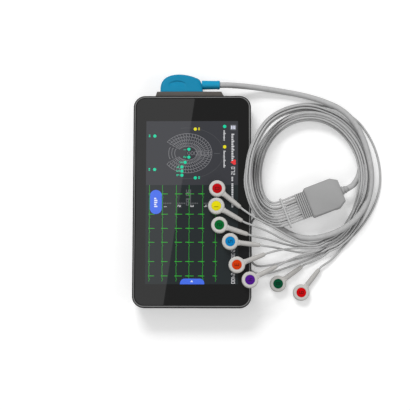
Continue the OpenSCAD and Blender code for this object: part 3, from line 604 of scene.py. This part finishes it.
def make_front_shell():
    """The frame round the glass: dark, with a painted highlight, a bright line along the inside of its
    rounded edge where it would catch the light.
    """
    shell = moulded("front_shell", tint(30), FRAME_ROUGH, 0.4, 0.01)
    edge = rounded_distance(shell, 0, BODY_W, BODY_L, EDGE_R)
    _, _, z = shell.axes()
    top = z.above((BODY_T - LINE_DEEP) * MM, 0.00005)
    past_in = edge.above(HIGHLIGHT_IN * MM, 0.00008)
    past_out = edge.above(HIGHLIGHT_OUT * MM, 0.00008)
    # painted highlight: a pale line on the rounded edge stands in for the light that this edge catches
    shell.paint((past_in - past_out) * top, tint(122))
    inside = (1 - past_in) * top
    shell.paint(inside, tint(24))
    shell.set("Roughness", FRAME_ROUGH - inside * 0.28)
    return shell


def make_ribbed_relief():
    """The yoke's ribbed relief: pale ribs, with painted shade that darkens the grooves and, darker still, a
    slit between the leads.
    """
    relief = moulded("yoke_ribs", tint(172), 0.55, 0.4, 0.03)
    x, y, z = relief.axes()
    across = (y - YOKE_C[1] * MM) * math.cos(YOKE_TURN) - (x - YOKE_C[0] * MM) * math.sin(YOKE_TURN)
    groove = 1 - z.above((YOKE_MID + RIB_TOP - RIB_DROP) * MM, 0.00005)
    wave = (across / (LEAD_PITCH * MM)).fraction()
    slit = 1 - abs(wave - 0.5).above(SLIT, 0.05)
    # painted shade: the grooves below the rib tops and the slits between the leads are darkened where shade
    # falls in them
    relief.paint(groove * GROOVE_SHADE_SHARE, tint(122))
    relief.paint(groove * slit * GROOVE_SHADE_SHARE, tint(70))
    return relief


def make_cable_skin(name):
    """Soft matt jacket with faint scuffs."""
    finish = moulded(name, JACKET_TINT, 0.5, 0.5, 0.015, 0.08)
    marks = finish.noise(SCUFF, 4.0).above(SCUFF_LIMIT, 0.03)
    finish.paint(marks * SCUFF_SHARE, tint(120, 118, 114))
    return finish


# For moulded(): tint, roughness, width of the grain, its depth, and how far the colour wanders
FINISHES = {
    "back_shell": moulded("back_shell", tint(40), 0.42, 0.45, 0.03),
    "cap_shell": moulded("cap_shell", tint(36), 0.45, 0.45, 0.03),
    "front_shell": make_front_shell(),
    "cover_glass": make_glass(),
    "display": moulded("display", tint(20, 21, 24), 0.2),
    "inner_metal": bare_metal("inner_metal", tint(170), 0.4),
    "seal": moulded("seal", tint(60, 62, 64), 0.7),
    "ledge": moulded("ledge", tint(86, 82, 78), 0.5, 0.4, 0.03),
    "socket_plastic": moulded("socket_plastic", tint(24), 0.45),
    "contacts": bare_metal("contacts", tint(214, 176, 84), 0.3),
    "ring_plastic": moulded("ring_plastic", tint(22), 0.25, 0.3, 0.008),
    "lens": moulded("lens", tint(10, 12, 18), 0.04, 4.0, 0.002, 0.02, Coat_Weight=1.0),
    "label": moulded("label", tint(33), 0.5, 0.25, 0.01),
    "speaker": moulded("speaker", tint(48), 0.6),
    "socket_metal": bare_metal("socket_metal", tint(178), 0.3),
    "board": moulded("board", tint(24, 86, 54), 0.4, 0.8, 0.03, 0.15),
    "battery": moulded("battery", tint(140, 143, 148), 0.35, 1.5, 0.03, 0.05, Metallic=0.6),
    "key_plastic": moulded("key_plastic", tint(40), 0.4, 0.3, 0.015),
    "hood": moulded("hood", tint(6, 132, 172), 0.42, 0.4, 0.02, 0.04, Specular_IOR_Level=0.35),
    "hood_relief": moulded("hood_relief", tint(10, 150, 192), 0.5, 0.4, 0.02, 0.05),
    "main_jacket": make_cable_skin("main_jacket"),
    "lead_jacket": make_cable_skin("lead_jacket"),
    "yoke": moulded("yoke", tint(163), 0.5, 0.5, 0.03, 0.03),
    "yoke_soft": moulded("yoke_soft", tint(168), 0.55, 0.4, 0.03),
    "comb": moulded("comb", tint(190), 0.4, 0.4, 0.02),
    "snap": moulded("snap", tint(200, 198, 194), 0.4, 0.4, 0.02, 0.03),
    "boot": moulded("boot", tint(186, 184, 181), 0.45, 0.4, 0.02, 0.04),
    "snap_metal": bare_metal("snap_metal", tint(200), 0.25),
}
DISC_TINTS = {
    "red": (184, 8, 16), "yellow": (226, 214, 16), "green": (4, 100, 44), "blue": (8, 128, 192),
    "orange": (208, 58, 8), "purple": (80, 22, 138), "dark_green": (2, 80, 50), "crimson": (204, 4, 10),
    "white": (235, 235, 232), "black": (24, 24, 26),
}
for disc_name, disc_levels in DISC_TINTS.items():
    FINISHES["tint_" + disc_name] = moulded("tint_" + disc_name, tint(*disc_levels), 0.6, 0.3, 0.01, 0.05,
                                            Specular_IOR_Level=0.1)
OWN_FINISH = {"yoke_relief": make_ribbed_relief()}

# The slot of each CAD node that stays
SLOT_OF = {
    "back_cover": "back_shell", "top_cap": "cap_shell", "front_frame": "front_shell",
    "cover_glass": "cover_glass", "display_panel": "display", "mid_frame": "inner_metal",
    "seal_ring": "seal", "connector_block": "ledge", "socket_shell": "socket_plastic",
    "socket_pins": "contacts", "camera_ring": "ring_plastic", "camera_lens": "lens",
    "label_plate": "label", "speaker": "speaker", "charge_contacts": "contacts",
    "charge_socket": "socket_metal", "main_board": "board", "shield_cans": "inner_metal",
    "ecg_board": "board", "battery": "battery", "key_board": "board", "case_screws": "socket_metal",
    "screw_caps": "cap_shell",
    "power_key": "key_plastic", "volume_rocker": "key_plastic", "rocker_pin": "socket_metal",
    "function_key": "key_plastic", "plug_insert": "socket_plastic", "plug_pins": "contacts",
    "yoke_top": "yoke", "yoke_bottom": "yoke", "yoke_board": "board", "yoke_relief": "yoke_soft",
    "yoke_collar": "yoke_soft", "wire_comb": "comb", "snap_springs": "snap_metal",
}
for disc_name in DISC_TINTS:
    SLOT_OF["disc_" + disc_name] = "tint_" + disc_name
# How wide an edge is broken: BEVEL, but for a few nodes
BEVEL = 0.2
BEVEL_OF = {"cover_glass": 0.0, "display_panel": 0.0, "yoke_top": 0.45, "yoke_bottom": 0.45,
            "yoke_relief": 0.12}
SHARP_ANGLE = 35
WELD_GAP = 0.002


def dress_cad(name, slot, bevel):
    """Softens the edges of a CAD node and gives it its own finish, or else its slot's."""
    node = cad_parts[name]
    node.data.materials.clear()
    node.data.materials.append(OWN_FINISH.get(name, FINISHES[slot]).material)
    weld = node.modifiers.new("weld", "WELD")
    weld.merge_threshold = WELD_GAP * MM
    if bevel:
        soft = node.modifiers.new("soft_edges", "BEVEL")
        soft.width = bevel * MM
        soft.segments = 2
        soft.limit_method = "ANGLE"
        soft.angle_limit = math.radians(SHARP_ANGLE)
        soft.use_clamp_overlap = True
        soft.harden_normals = True
    for face in node.data.polygons:
        face.use_smooth = bevel > 0


for piece, its_slot in SLOT_OF.items():
    dress_cad(piece, its_slot, BEVEL_OF.get(piece, BEVEL))
main_cable.data.materials.append(FINISHES["main_jacket"].material)
for lead_cord in lead_cords:
    lead_cord.data.materials.append(FINISHES["lead_jacket"].material)


# ---- Pieces of mesh that stand for plainer solids
def place_mesh(name, points, faces, finish):
    """A new object of points in millimetres, with the finish."""
    data = bpy.data.meshes.new(name)
    data.from_pydata(metres(points), [], faces)
    data.update()
    data.materials.append(finish.material)
    made = bpy.data.objects.new(name, data)
    bpy.context.scene.collection.objects.link(made)
    return made


def add_mesh(name, points, faces, slot, body, smooth_angle):
    """A mesh with the finish of its slot, smooth where it turns less than the angle, that rides the body."""
    made = place_mesh(name, points, faces, FINISHES[slot])
    data = made.data
    shell = bmesh.new()
    shell.from_mesh(data)
    bmesh.ops.recalc_face_normals(shell, faces=shell.faces)
    for edge in shell.edges:
        edge.smooth = len(edge.link_faces) == 2 and edge.calc_face_angle(0) < math.radians(smooth_angle)
    shell.to_mesh(data)
    shell.free()
    for face in data.polygons:
        face.use_smooth = True
    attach(made, body)
    return made


def lathed(profile, steps, place):
    """Points and faces of the profile (radius, height) turned about an axis.

    place puts a point (across, across, height) in the part.
    """
    points = []
    rings = []
    for radius, height in profile:
        if radius < 1e-6:
            rings.append([len(points)] * steps)
            points.append(place(0, 0, height))
            continue
        rings.append(list(range(len(points), len(points) + steps)))
        for i in range(steps):
            a = 2 * math.pi * i / steps
            points.append(place(radius * math.cos(a), radius * math.sin(a), height))
    faces = []
    for low, high in zip(rings, rings[1:]):
        for i in range(steps):
            j = (i + 1) % steps
            corners = []
            for corner in (low[i], low[j], high[j], high[i]):
                if corner not in corners:
                    corners.append(corner)
            if len(corners) > 2:
                faces.append(corners)
    return points, faces


# Profiles as (radius, height): the head from its bore round to the disc's seat, the boot from root to tip
HEAD_PROFILE = [(3.05, 2.6), (3.05, 0), (6.3, 0), (6.6, 0.12), (6.7, 0.4), (6.7, 3.7), (6.62, 4.1),
                (6.4, 4.5), (6.05, 4.8), (5.6, 4.97), (5.2, 5.0), (4.35, 5.0), (4.08, 4.93), (3.95, 4.75),
                (3.95, 4.2), (0, 4.2)]
BOOT_PROFILE = [(2.02, 0), (2.05, 1.5), (2.07, 4), (2.06, 7), (2.0, 10), (1.9, 12.6), (1.78, 15),
                (1.7, 16.4), (1.6, 17.1), (1.4, 17.6), (1.15, 17.9), (0.9, 18)]
HEAD_ROOF = 2.6
HEAD_STEPS = 48
BOOT_STEPS = 20
# The neck between head and boot, as sections: how far out, half width, underside and top
NECK = ((5.6, 2.5, 0.3, 4.1), (7.2, 2.2, 0.4, 4.2), (8.6, 1.6, 0.8, 3.7))
NECK_SHOULDER = 0.8
NECK_CROWN = 0.7


def make_snap(name, x, y, underside, turn):
    """The head, the boot and the neck between them of one snap clip."""
    c, s = math.cos(math.radians(turn)), math.sin(math.radians(turn))

    def from_head(across, up, out):
        """A point given across the boot, up and out along it, in the part."""
        return (x + out * c - across * s, y + out * s + across * c, underside + up)
    points, faces = lathed([(0, HEAD_ROOF), *HEAD_PROFILE], HEAD_STEPS,
                           lambda a, b, h: (x + a, y + b, underside + h))
    head = add_mesh("snap_head_" + name, points, faces, "snap", "cable", 25)
    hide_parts("snap_heads")
    points, faces = lathed([*BOOT_PROFILE, (0, BOOT_L)], BOOT_STEPS,
                           lambda a, b, h: from_head(a, BOOT_Z + b, BOOT_START + h))
    boot = add_mesh("snap_boot_" + name, points, faces, "boot", "cable", 40)
    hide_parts("snap_boots")
    web = []
    for out, half, low, high in NECK:
        shoulder = lerp(low, high, NECK_SHOULDER)
        for across, up in ((-1, low), (1, low), (1, shoulder), (NECK_CROWN, high), (-NECK_CROWN, high),
                           (-1, shoulder)):
            web.append(from_head(across * half, up, out))
    sides = [[i, (i + 1) % 6, (i + 1) % 6 + 6, i + 6] for i in range(6)]
    sides += [[a + 6 for a in side] for side in sides]
    neck = add_mesh("snap_neck_" + name, web, [*sides, [5, 4, 3, 2, 1, 0], list(range(12, 18))],
                    "snap", "cable", 50)
    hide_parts("snap_boots")
    return [head, boot, neck]


snap_pieces = {snap[0]: make_snap(*snap) for snap in SNAPS}

# The plug's hood: an arched cap, its outline as (x, height over its foot)
PLUG_Z = BODY_T / 2
HOOD_Y = BODY_L / 2 + 4.2
HOOD_T = 12.4
HOOD_EDGE = [(-26.4, 0), (-26.4, 3.8), (-25.5, 7.8), (-22.8, 11.4), (-18.4, 13.7), (-12.8, 14.7),
             (-7.3, 14.5), (-2, 13.5), (2.4, 12), (5.6, 10.4), (7.4, 7.4), (8.2, 3.7), (8.5, 0)]
HOOD_HEART = Vector((-9.6, 5.2, 0))
HOOD_SOFT = 2.5
HOOD_ROUND = 2.1
HOOD_ARCS = 7
HOOD_RINGS = 26
FOOT_STEPS = 20
# The thumb hollow: the middle of its upper edge, half width, height, depth, and how wide that edge is
GRIP = (-12.4, 9.3)
GRIP_HALF = 7.2
GRIP_TALL = 5.5
GRIP_DEEP = 0.85
GRIP_LIP = 0.5
GRIP_BOW = 0.045
RELIEF_PLACE = (7.2, HOOD_Y + 6.7, PLUG_Z)


def hood_rim():
    """The smooth outline of the hood and its inward ways, closed by the straight foot."""
    arch = eased([Vector((x, y, 0)) for x, y in HOOD_EDGE])
    foot = [arch[-1].lerp(arch[0], i / FOOT_STEPS) for i in range(1, FOOT_STEPS)]
    rim = [*arch, *foot]
    ways = []
    for before, here, after in zip([rim[-1], *rim], rim, [*rim[1:], rim[0]]):
        along = (after - before).normalized()
        way = Vector((along.y, -along.x, 0))
        ways.append(Vector((0, 0, 0)) if here.y < 0.01 else way)
    return rim, ways


def grip_depth(x, y):
    """How deep the thumb hollow is: a sharp upper edge that fades out below."""
    across = (x - GRIP[0]) / GRIP_HALF
    below = GRIP[1] - GRIP_BOW * (x - GRIP[0]) ** 2 - y
    if abs(across) >= 1 or below <= 0 or below > GRIP_TALL:
        return 0.0
    return GRIP_DEEP * smooth(below / GRIP_LIP) * (1 - smooth(below / GRIP_TALL)) * (1 - across ** 4)


def make_hood():
    """The hood with large soft edges and a grip hollow on each broad face."""
    rim, ways = hood_rim()
    loops = []
    for i in range(HOOD_ARCS):
        a = math.radians(90 / (HOOD_ARCS - 1) * i)
        loops.append((HOOD_SOFT * (1 - math.cos(a)), HOOD_T / 2 - HOOD_ROUND * (1 - math.sin(a)), 0))
    loops += [(HOOD_SOFT, HOOD_T / 2, i / HOOD_RINGS) for i in range(1, HOOD_RINGS)]
    stack = [(inset, -high, share) for inset, high, share in reversed(loops)] + loops
    points = []
    for inset, high, share in stack:
        for spot, way in zip(rim, ways):
            place = (spot + way * inset).lerp(HOOD_HEART, share)
            dent = grip_depth(place.x, place.y) if abs(high) == HOOD_T / 2 else 0
            points.append((place.x, HOOD_Y + place.y, PLUG_Z + high - math.copysign(dent, high)))
    count = len(rim)
    faces = []
    for ring in range(len(stack) - 1):
        for i in range(count):
            j = (i + 1) % count
            low = ring * count
            faces.append([low + i, low + j, low + j + count, low + i + count])
    faces.append(list(reversed(range(count))))
    faces.append([(len(stack) - 1) * count + i for i in range(count)])
    hood = add_mesh("plug_hood_shell", points, faces, "hood", "cable", 35)
    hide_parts("plug_hood")
    return hood


def make_relief():
    """The sleeve that leads the cable out of the hood, with a soft end and a raised band."""
    x0, y0, z0 = RELIEF_PLACE
    end = MAIN_HEAD[0] - x0
    profile = [(0, 0.4), (3.65, 0.4), (3.7, 2.2), (3.62, 4), (3.5, end - 2.6), (3.5, end - 2.2),
               (3.66, end - 2), (3.66, end - 0.7), (3.5, end - 0.2), (3.2, end), (2.42, end), (0, end)]
    points, faces = lathed(profile, 40, lambda a, b, h: (x0 + h, y0 + a, z0 + b))
    relief = add_mesh("plug_relief_sleeve", points, faces, "hood_relief", "cable", 40)
    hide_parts("plug_relief")
    return relief


plug_hood = make_hood()
plug_relief = make_relief()


def declare_cords():
    """Works out where each cord starts, its length and the name of its disc, and keeps none of them."""
    main_path[0] * MM
    round(length_of(main_path), 3)
    for snap, path, lead in zip(SNAPS, lead_paths, lead_cords):
        path[0] * MM
        round(length_of(path), 3)
        "disc_" + snap[0]


declare_cords()


# ---- What the screen shows: thin flat prints on the glass, drawn in the photograph's pixels
PIXEL = 0.815
SCREEN_PIXEL = (191.7, 201.2)
PRINT_Z = BODY_T + 0.012
PRINT_STEP = 0.004
SHAPE_LAYERS = 6
SHAPE_STEP = 0.0006
LETTER_SHARES = (0.62, 0.62, 0.62, 0.95)


class Print:
    """Flat shapes of one colour, gathered into one mesh that lies on the glass."""

    def __init__(self, name, color, layer, body="case", slot="display"):
        self.name = name
        self.body = body
        self.slot = slot
        self.color = color
        self.z = PRINT_Z + layer * PRINT_STEP
        self.points = []
        self.faces = []

    def shape(self, corners):
        """A convex outline of (across, down) in pixels of the photograph."""
        first = len(self.points)
        z = self.z + len(self.faces) % SHAPE_LAYERS * SHAPE_STEP
        for u, v in corners:
            self.points.append((PIXEL * (u - SCREEN_PIXEL[0]), PIXEL * (SCREEN_PIXEL[1] - v), z))
        self.faces.append(list(range(first, first + len(corners))))

    def bar(self, u0, v0, u1, v1):
        """An upright box from one corner to the other."""
        self.shape([(u0, v0), (u1, v0), (u1, v1), (u0, v1)])

    def oval(self, u, v, a, b, steps=24):
        """A filled oval about (u, v)."""
        turns = [2 * math.pi * i / steps for i in range(steps)]
        self.shape([(u + a * math.cos(t), v + b * math.sin(t)) for t in turns])

    def line(self, way, width):
        """A strip of the width along the corners of way."""
        for (u0, v0), (u1, v1) in zip(way, way[1:]):
            long = math.hypot(u1 - u0, v1 - v0)
            if long < 1e-6:
                continue
            a, b = (u1 - u0) / long * width / 2, (v1 - v0) / long * width / 2
            self.shape([(u0 - a - b, v0 - b + a), (u1 + a - b, v1 + b + a),
                        (u1 + a + b, v1 + b - a), (u0 - a + b, v0 - b - a)])

    def arc(self, u, v, a, b, start, end, width, steps=24):
        """Part of an oval's line, from the angle start to end in degrees."""
        turns = [math.radians(lerp(start, end, i / steps)) for i in range(steps + 1)]
        self.line([(u + a * math.cos(t), v + b * math.sin(t)) for t in turns], width)

    def rounded(self, u0, v0, u1, v1, radius, cut=math.inf):
        """A box with round corners; cut is where its lower part is cut off."""
        corners = []
        for u, v, start in ((u1 - radius, v1 - radius, 0), (u0 + radius, v1 - radius, 90),
                            (u0 + radius, v0 + radius, 180), (u1 - radius, v0 + radius, 270)):
            for i in range(7):
                t = math.radians(start + 15 * i)
                corners.append((u + radius * math.cos(t), min(v + radius * math.sin(t), cut)))
        self.shape(corners)

    def digit(self, figure, u, v, tall):
        """A seven-segment figure that is read down the picture; (u, v) is its lower left corner."""
        wide = tall * 0.55
        thick = tall * 0.16
        spots = {"a": ((0, 1), (1, 1)), "b": ((1, 1), (1, 0.5)), "c": ((1, 0.5), (1, 0)),
                 "d": ((0, 0), (1, 0)), "e": ((0, 0.5), (0, 0)), "f": ((0, 1), (0, 0.5)),
                 "g": ((0, 0.5), (1, 0.5))}
        lit = ["abcdef", "bc", "abged", "abgcd", "fgbc", "afgcd", "afgedc", "abc", "abcdefg", "abcfgd"]
        for segment in lit[figure]:
            ends = [(u + up * tall, v + along * wide) for along, up in spots[segment]]
            self.line(ends, thick)

    def number(self, figures, u, v, tall):
        """Figures one below the other; a colon is two dots."""
        for figure in figures:
            if figure == ":":
                self.oval(u + tall * 0.25, v, tall * 0.09, tall * 0.09, 8)
                self.oval(u + tall * 0.75, v, tall * 0.09, tall * 0.09, 8)
                v += tall * 0.4
            else:
                self.digit(int(figure), u, v, tall)
                v += tall * 0.9

    def word(self, u, v, letters, tall, seed):
        """A row of small bars in place of letters, one below the other."""
        pick = random.Random(seed)
        for _ in range(letters):
            high = tall * pick.choice(LETTER_SHARES)
            self.bar(u, v, u + high, v + tall * 0.42)
            v += tall * 0.6

    def make(self):
        """Lays the print, in glossy ink, on its body."""
        finish = Finish(self.name, self.color, 0.08, IOR=1.5)
        finish.shade(0.06, 5)
        made = place_mesh(self.name, self.points, self.faces, finish)
        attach(made, self.body)


# The traces: where each runs, how far its beats reach to both sides, and where the beats are
TRACE_U = [149.4, 162.4, 176.2, 188.9, 202.4, 215.1]
TRACE_REACH = [(-0.5, 5.0), (-0.7, 5.2), (-1.2, 5.6), (-3.4, 4.6), (-4.3, 1.5), (-2.5, 1.5)]
BEAT_V = [194.3, 214.6, 228.7, 242.5, 261.6, 275.8]
TRACE_TOP = 185.6
TRACE_END = 281
TRACE_LINE = 0.54
BEAT_LINE = 0.4
LABEL_V = 205.6
PANEL_FOOT = 284
LEGEND_U = 223
STATUS_U = 231
DIAL = (187, 153.4)
DIAL_RINGS = [(24.5, 19.8), (21.2, 16.6), (17.6, 13.4), (13.8, 10.2), (9.6, 7.0)]
DIAL_SWEEP = 146
DIAL_TICKS = 40
DIAL_DOTS = [(188.5, 149.4), (188.5, 157.4), (184.8, 162.6), (181.6, 167.2), (181.6, 171.4), (181.6, 175.6)]
SIDE_DOTS = [(154.4, 136.0), (154.4, 169.8), (195.0, 178.2)]


def draw_traces():
    """Six green traces that run down the screen, with a sharp beat at each BEAT_V."""
    green = Print("screen_traces", tint(44, 150, 50), 1)
    bright = Print("screen_beats", tint(56, 186, 54), 2)
    for u, (low, high) in zip(TRACE_U, TRACE_REACH):
        way = [(u, TRACE_TOP)]
        for v in BEAT_V:
            way += [(u, v - 3.4), (u + 0.35 * (1 if high > 2 else -1), v - 2.5), (u, v - 1.7), (u, v - 0.5),
                    (u + low, v - 0.1), (u + high, v), (u + low * 0.5, v + 0.1), (u, v + 0.5),
                    (u, v + 2.0), (u + 0.7, v + 3.2), (u, v + 4.4)]
            bright.line([(u + low, v), (u + high, v)], BEAT_LINE)
        way.append((u, TRACE_END))
        green.line(way, TRACE_LINE)
    return [green, bright]


def draw_dial():
    """A plain dial of nested ovals with ticks between them."""
    u, v = DIAL
    pale = Print("screen_dial", tint(132, 132, 136), 1)
    faint = Print("screen_dial_outer", tint(74, 75, 79), 1)
    for a, b in DIAL_RINGS:
        pale.arc(u, v, a, b, -DIAL_SWEEP, DIAL_SWEEP, 0.45, 48)
    for (a0, b0), (a1, b1) in zip(DIAL_RINGS, DIAL_RINGS[1:]):
        for i in range(DIAL_TICKS):
            t = math.radians(-DIAL_SWEEP + 2 * DIAL_SWEEP * i / (DIAL_TICKS - 1))
            pale.line([(u + a0 * math.cos(t), v + b0 * math.sin(t)),
                       (u + a1 * math.cos(t + 0.05), v + b1 * math.sin(t + 0.05))], 0.4)
    for i in range(7):
        pale.arc(u + 1.5 + 3.4 * i, v, 1.3, 1.5 + 0.25 * i, 0, 360, 0.4, 12)
    for i in range(3):
        pale.arc(u - 17 + 3 * i, v, 1.6, 5.6 - 0.7 * i, 90, 270, 0.5, 10)
    faint.arc(u, v, 36, 25.6, -100, 100, 0.5, 60)
    return [pale, faint]


def draw_marks():
    """Dots, legend, status column, buttons and figures."""
    teal = Print("screen_teal", tint(20, 215, 165), 3)
    yellow = Print("screen_yellow", tint(236, 226, 30), 3)
    white = Print("screen_white", tint(215, 215, 218), 3)
    grey = Print("screen_grey", tint(96, 98, 101), 1)
    blue = Print("screen_blue", tint(72, 112, 236), 3)
    red = Print("screen_red", tint(235, 60, 62), 3)
    on_blue = Print("screen_on_blue", tint(228, 232, 250), 5)
    for u, v in [*DIAL_DOTS, *SIDE_DOTS]:
        teal.oval(u, v, 1.6, 1.6)
    for i, (u, v) in enumerate(DIAL_DOTS):
        teal.number(str(i + 1), u - 5.2, v - 0.8, 2.4)
    for u, v in SIDE_DOTS[:2]:
        teal.word(u - 6, v - 1.4, 2, 2.4, 3)
    teal.word(SIDE_DOTS[2][0] + 3, SIDE_DOTS[2][1] - 1.4, 2, 2.4, 5)
    yellow.oval(194.8, 129, 1.6, 1.6)
    yellow.word(197.8, 127.6, 2, 2.4, 4)
    teal.oval(224.2, 126.4, 1.7, 1.7)
    white.word(LEGEND_U, 130.4, 8, 2.2, 8)
    yellow.oval(224.2, 147, 1.7, 1.7)
    white.word(LEGEND_U, 151, 13, 2.2, 9)
    grey.rounded(229.6, 124.6, 235.8, 130.2, 0.8)
    for i in range(3):
        on_blue.bar(230.6 + 1.6 * i, 125.6, 231.6 + 1.6 * i, 129.2)
    white.word(STATUS_U, 133.8, 16, 2.9, 12)
    red.oval(234.0, 161.3, 1.45, 1.45)
    red.oval(234.0, 163.7, 1.45, 1.45)
    red.shape([(233.4, 160.0), (233.4, 165.0), (229.9, 162.5)])
    white.number("072", STATUS_U, 167.4, 3.2)
    white.word(STATUS_U, 177.2, 3, 2.6, 14)
    white.word(STATUS_U, 183.8, 14, 2.9, 15)
    white.word(STATUS_U, 233, 4, 2.9, 16)
    white.number("12:30:00", STATUS_U, 247, 3.1)
    white.number("2400", STATUS_U, 273, 3.1)
    for i, u in enumerate(TRACE_U[1:5]):
        white.number(str(i + 1), u + 1.6, LABEL_V, 2.7)
    for u in TRACE_U[1:5]:
        grey.bar(u + 0.8, 203.5, u + 9, 203.9)
        for i in range(5):
            grey.bar(u + 1.2 + 1.7 * i, 202.9, u + 1.7 + 1.7 * i, 204.5)
    grey.bar(213.5, 153.6, 219.5, 154.0)
    for i in range(5):
        grey.number(str(9 - i), 186.2, 190.4 + 3.2 * i, 4.2)
    blue.rounded(150, 190.4, 161.8, 214.4, 5.6)
    on_blue.word(154.2, 198.2, 5, 3.3, 21)
    blue.rounded(180.2, 278.4, 204.2, 290, 4.6, PANEL_FOOT)
    on_blue.shape([(190.4, 281.8), (193.2, 281.8), (191.8, 279.8)])
    return [teal, yellow, white, grey, blue, red, on_blue]


def mark_discs():
    """A figure in a deeper shade of its own colour on each disc."""
    marks = []
    for i, snap in enumerate(SNAPS):
        name, x, y = snap[:3]
        levels = DISC_TINTS[name]
        deep = [round(v * 0.45) for v in levels] if name != "black" else [120, 120, 122]
        mark = Print("disc_mark_" + name, tint(*deep), 0, "cable", "tint_" + name)
        mark.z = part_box("disc_" + name)[1][2] / MM + 0.01
        u = SCREEN_PIXEL[0] + x / PIXEL
        v = SCREEN_PIXEL[1] - y / PIXEL
        mark.number(str(i), u - 1.9, v - 1.05, 3.8)
        marks.append(mark)
    return marks


for sheet in [*draw_traces(), *draw_dial(), *draw_marks(), *mark_discs()]:
    sheet.make()


# ---- Studio: a white floor, a broad card of light above on the left, and softer ones round it
FLOOR_HALF = 4.0
FLOOR_DROP = 0.0002
SKY_LEVEL = 0.2
CARD_UP = 1.5
CARD_W = 1.3


def make_stage():
    """A white floor that keeps the soft shadow; it sends less light back up than the camera sees."""
    floor = Finish("floor", (0.8, 0.8, 0.8, 1), 0.9)
    floor.set("Specular IOR Level", 0.0)
    floor.set("Emission Color", (0.3, 0.3, 0.3, 1))
    floor.set("Emission Strength", 1.0)
    dim = floor.node("ShaderNodeBsdfDiffuse", {}, {"Color": (0.4, 0.4, 0.4, 1)})
    seen = floor.node("ShaderNodeLightPath", {}, {}, "Is Camera Ray")
    white = Value(floor, floor.shader.outputs[0])
    mixed = floor.node("ShaderNodeMixShader", {}, {0: seen, 1: dim, 2: white})
    floor.put(floor.tree.nodes["Material Output"].inputs["Surface"], mixed)
    half = FLOOR_HALF / MM
    corners = [(-half, -half, 0), (half, -half, 0), (half, half, 0), (-half, half, 0)]
    made = place_mesh("studio_floor", corners, [(0, 1, 2, 3)], floor)
    made.location.z = -FLOOR_DROP


def make_card(name, place, width, length, power, mirrored=True, turn=None):
    """A rectangular light at place, in metres, that faces the case unless turn is given.

    The camera never sees it, and gloss mirrors it where mirrored is true.
    """
    data = bpy.data.lights.new(name, "AREA")
    data.shape = "RECTANGLE"
    data.size = width
    data.size_y = length
    data.energy = power
    card = bpy.data.objects.new(name, data)
    card.location = place
    card.rotation_euler = turn or (-Vector(place)).to_track_quat("-Z", "Y").to_euler()
    card.visible_camera = False
    card.visible_glossy = mirrored
    bpy.context.scene.collection.objects.link(card)


def make_world(level):
    """White where the camera looks past the floor, and an even dim sky for everything else."""
    world = bpy.data.worlds.new("studio")
    world.use_nodes = True
    tree = world.node_tree
    sky = tree.nodes["Background"]
    sky.inputs["Color"].default_value = (level, level, level, 1)
    white = tree.nodes.new("ShaderNodeBackground")
    white.inputs["Color"].default_value = (1, 1, 1, 1)
    path = tree.nodes.new("ShaderNodeLightPath")
    mix = tree.nodes.new("ShaderNodeMixShader")
    tree.links.new(path.outputs["Is Camera Ray"], mix.inputs[0])
    tree.links.new(sky.outputs[0], mix.inputs[1])
    tree.links.new(white.outputs[0], mix.inputs[2])
    tree.links.new(mix.outputs[0], tree.nodes["World Output"].inputs["Surface"])
    bpy.context.scene.world = world


def light_studio():
    """The cards; the broad one's right edge is what the cover glass mirrors as a slanted line."""
    edge_top = Vector((-0.045, 0.394, CARD_UP))
    edge_low = Vector((-0.1106, -0.0543, CARD_UP))
    along = (edge_top - edge_low).normalized()
    across = Vector((-along.y, along.x, 0))
    middle = edge_low.lerp(edge_top, 0.5) + across * CARD_W / 2
    slant = math.atan2(along.x, along.y)
    make_card("broad_card", middle, CARD_W, 2.4, 7.2, turn=(0, 0, -slant))
    make_card("right_card", (1.5, -0.5, 1.0), 1.0, 1.4, 7.5)
    make_card("low_card", (0.2, -1.6, 1.1), 1.6, 0.8, 7.5, mirrored=False)
    make_card("high_card", (-0.5, 1.5, 1.3), 1.0, 0.6, 30, mirrored=False)


make_stage()
make_world(SKY_LEVEL)
light_studio()
bpy.context.scene.view_settings.view_transform = "Standard"
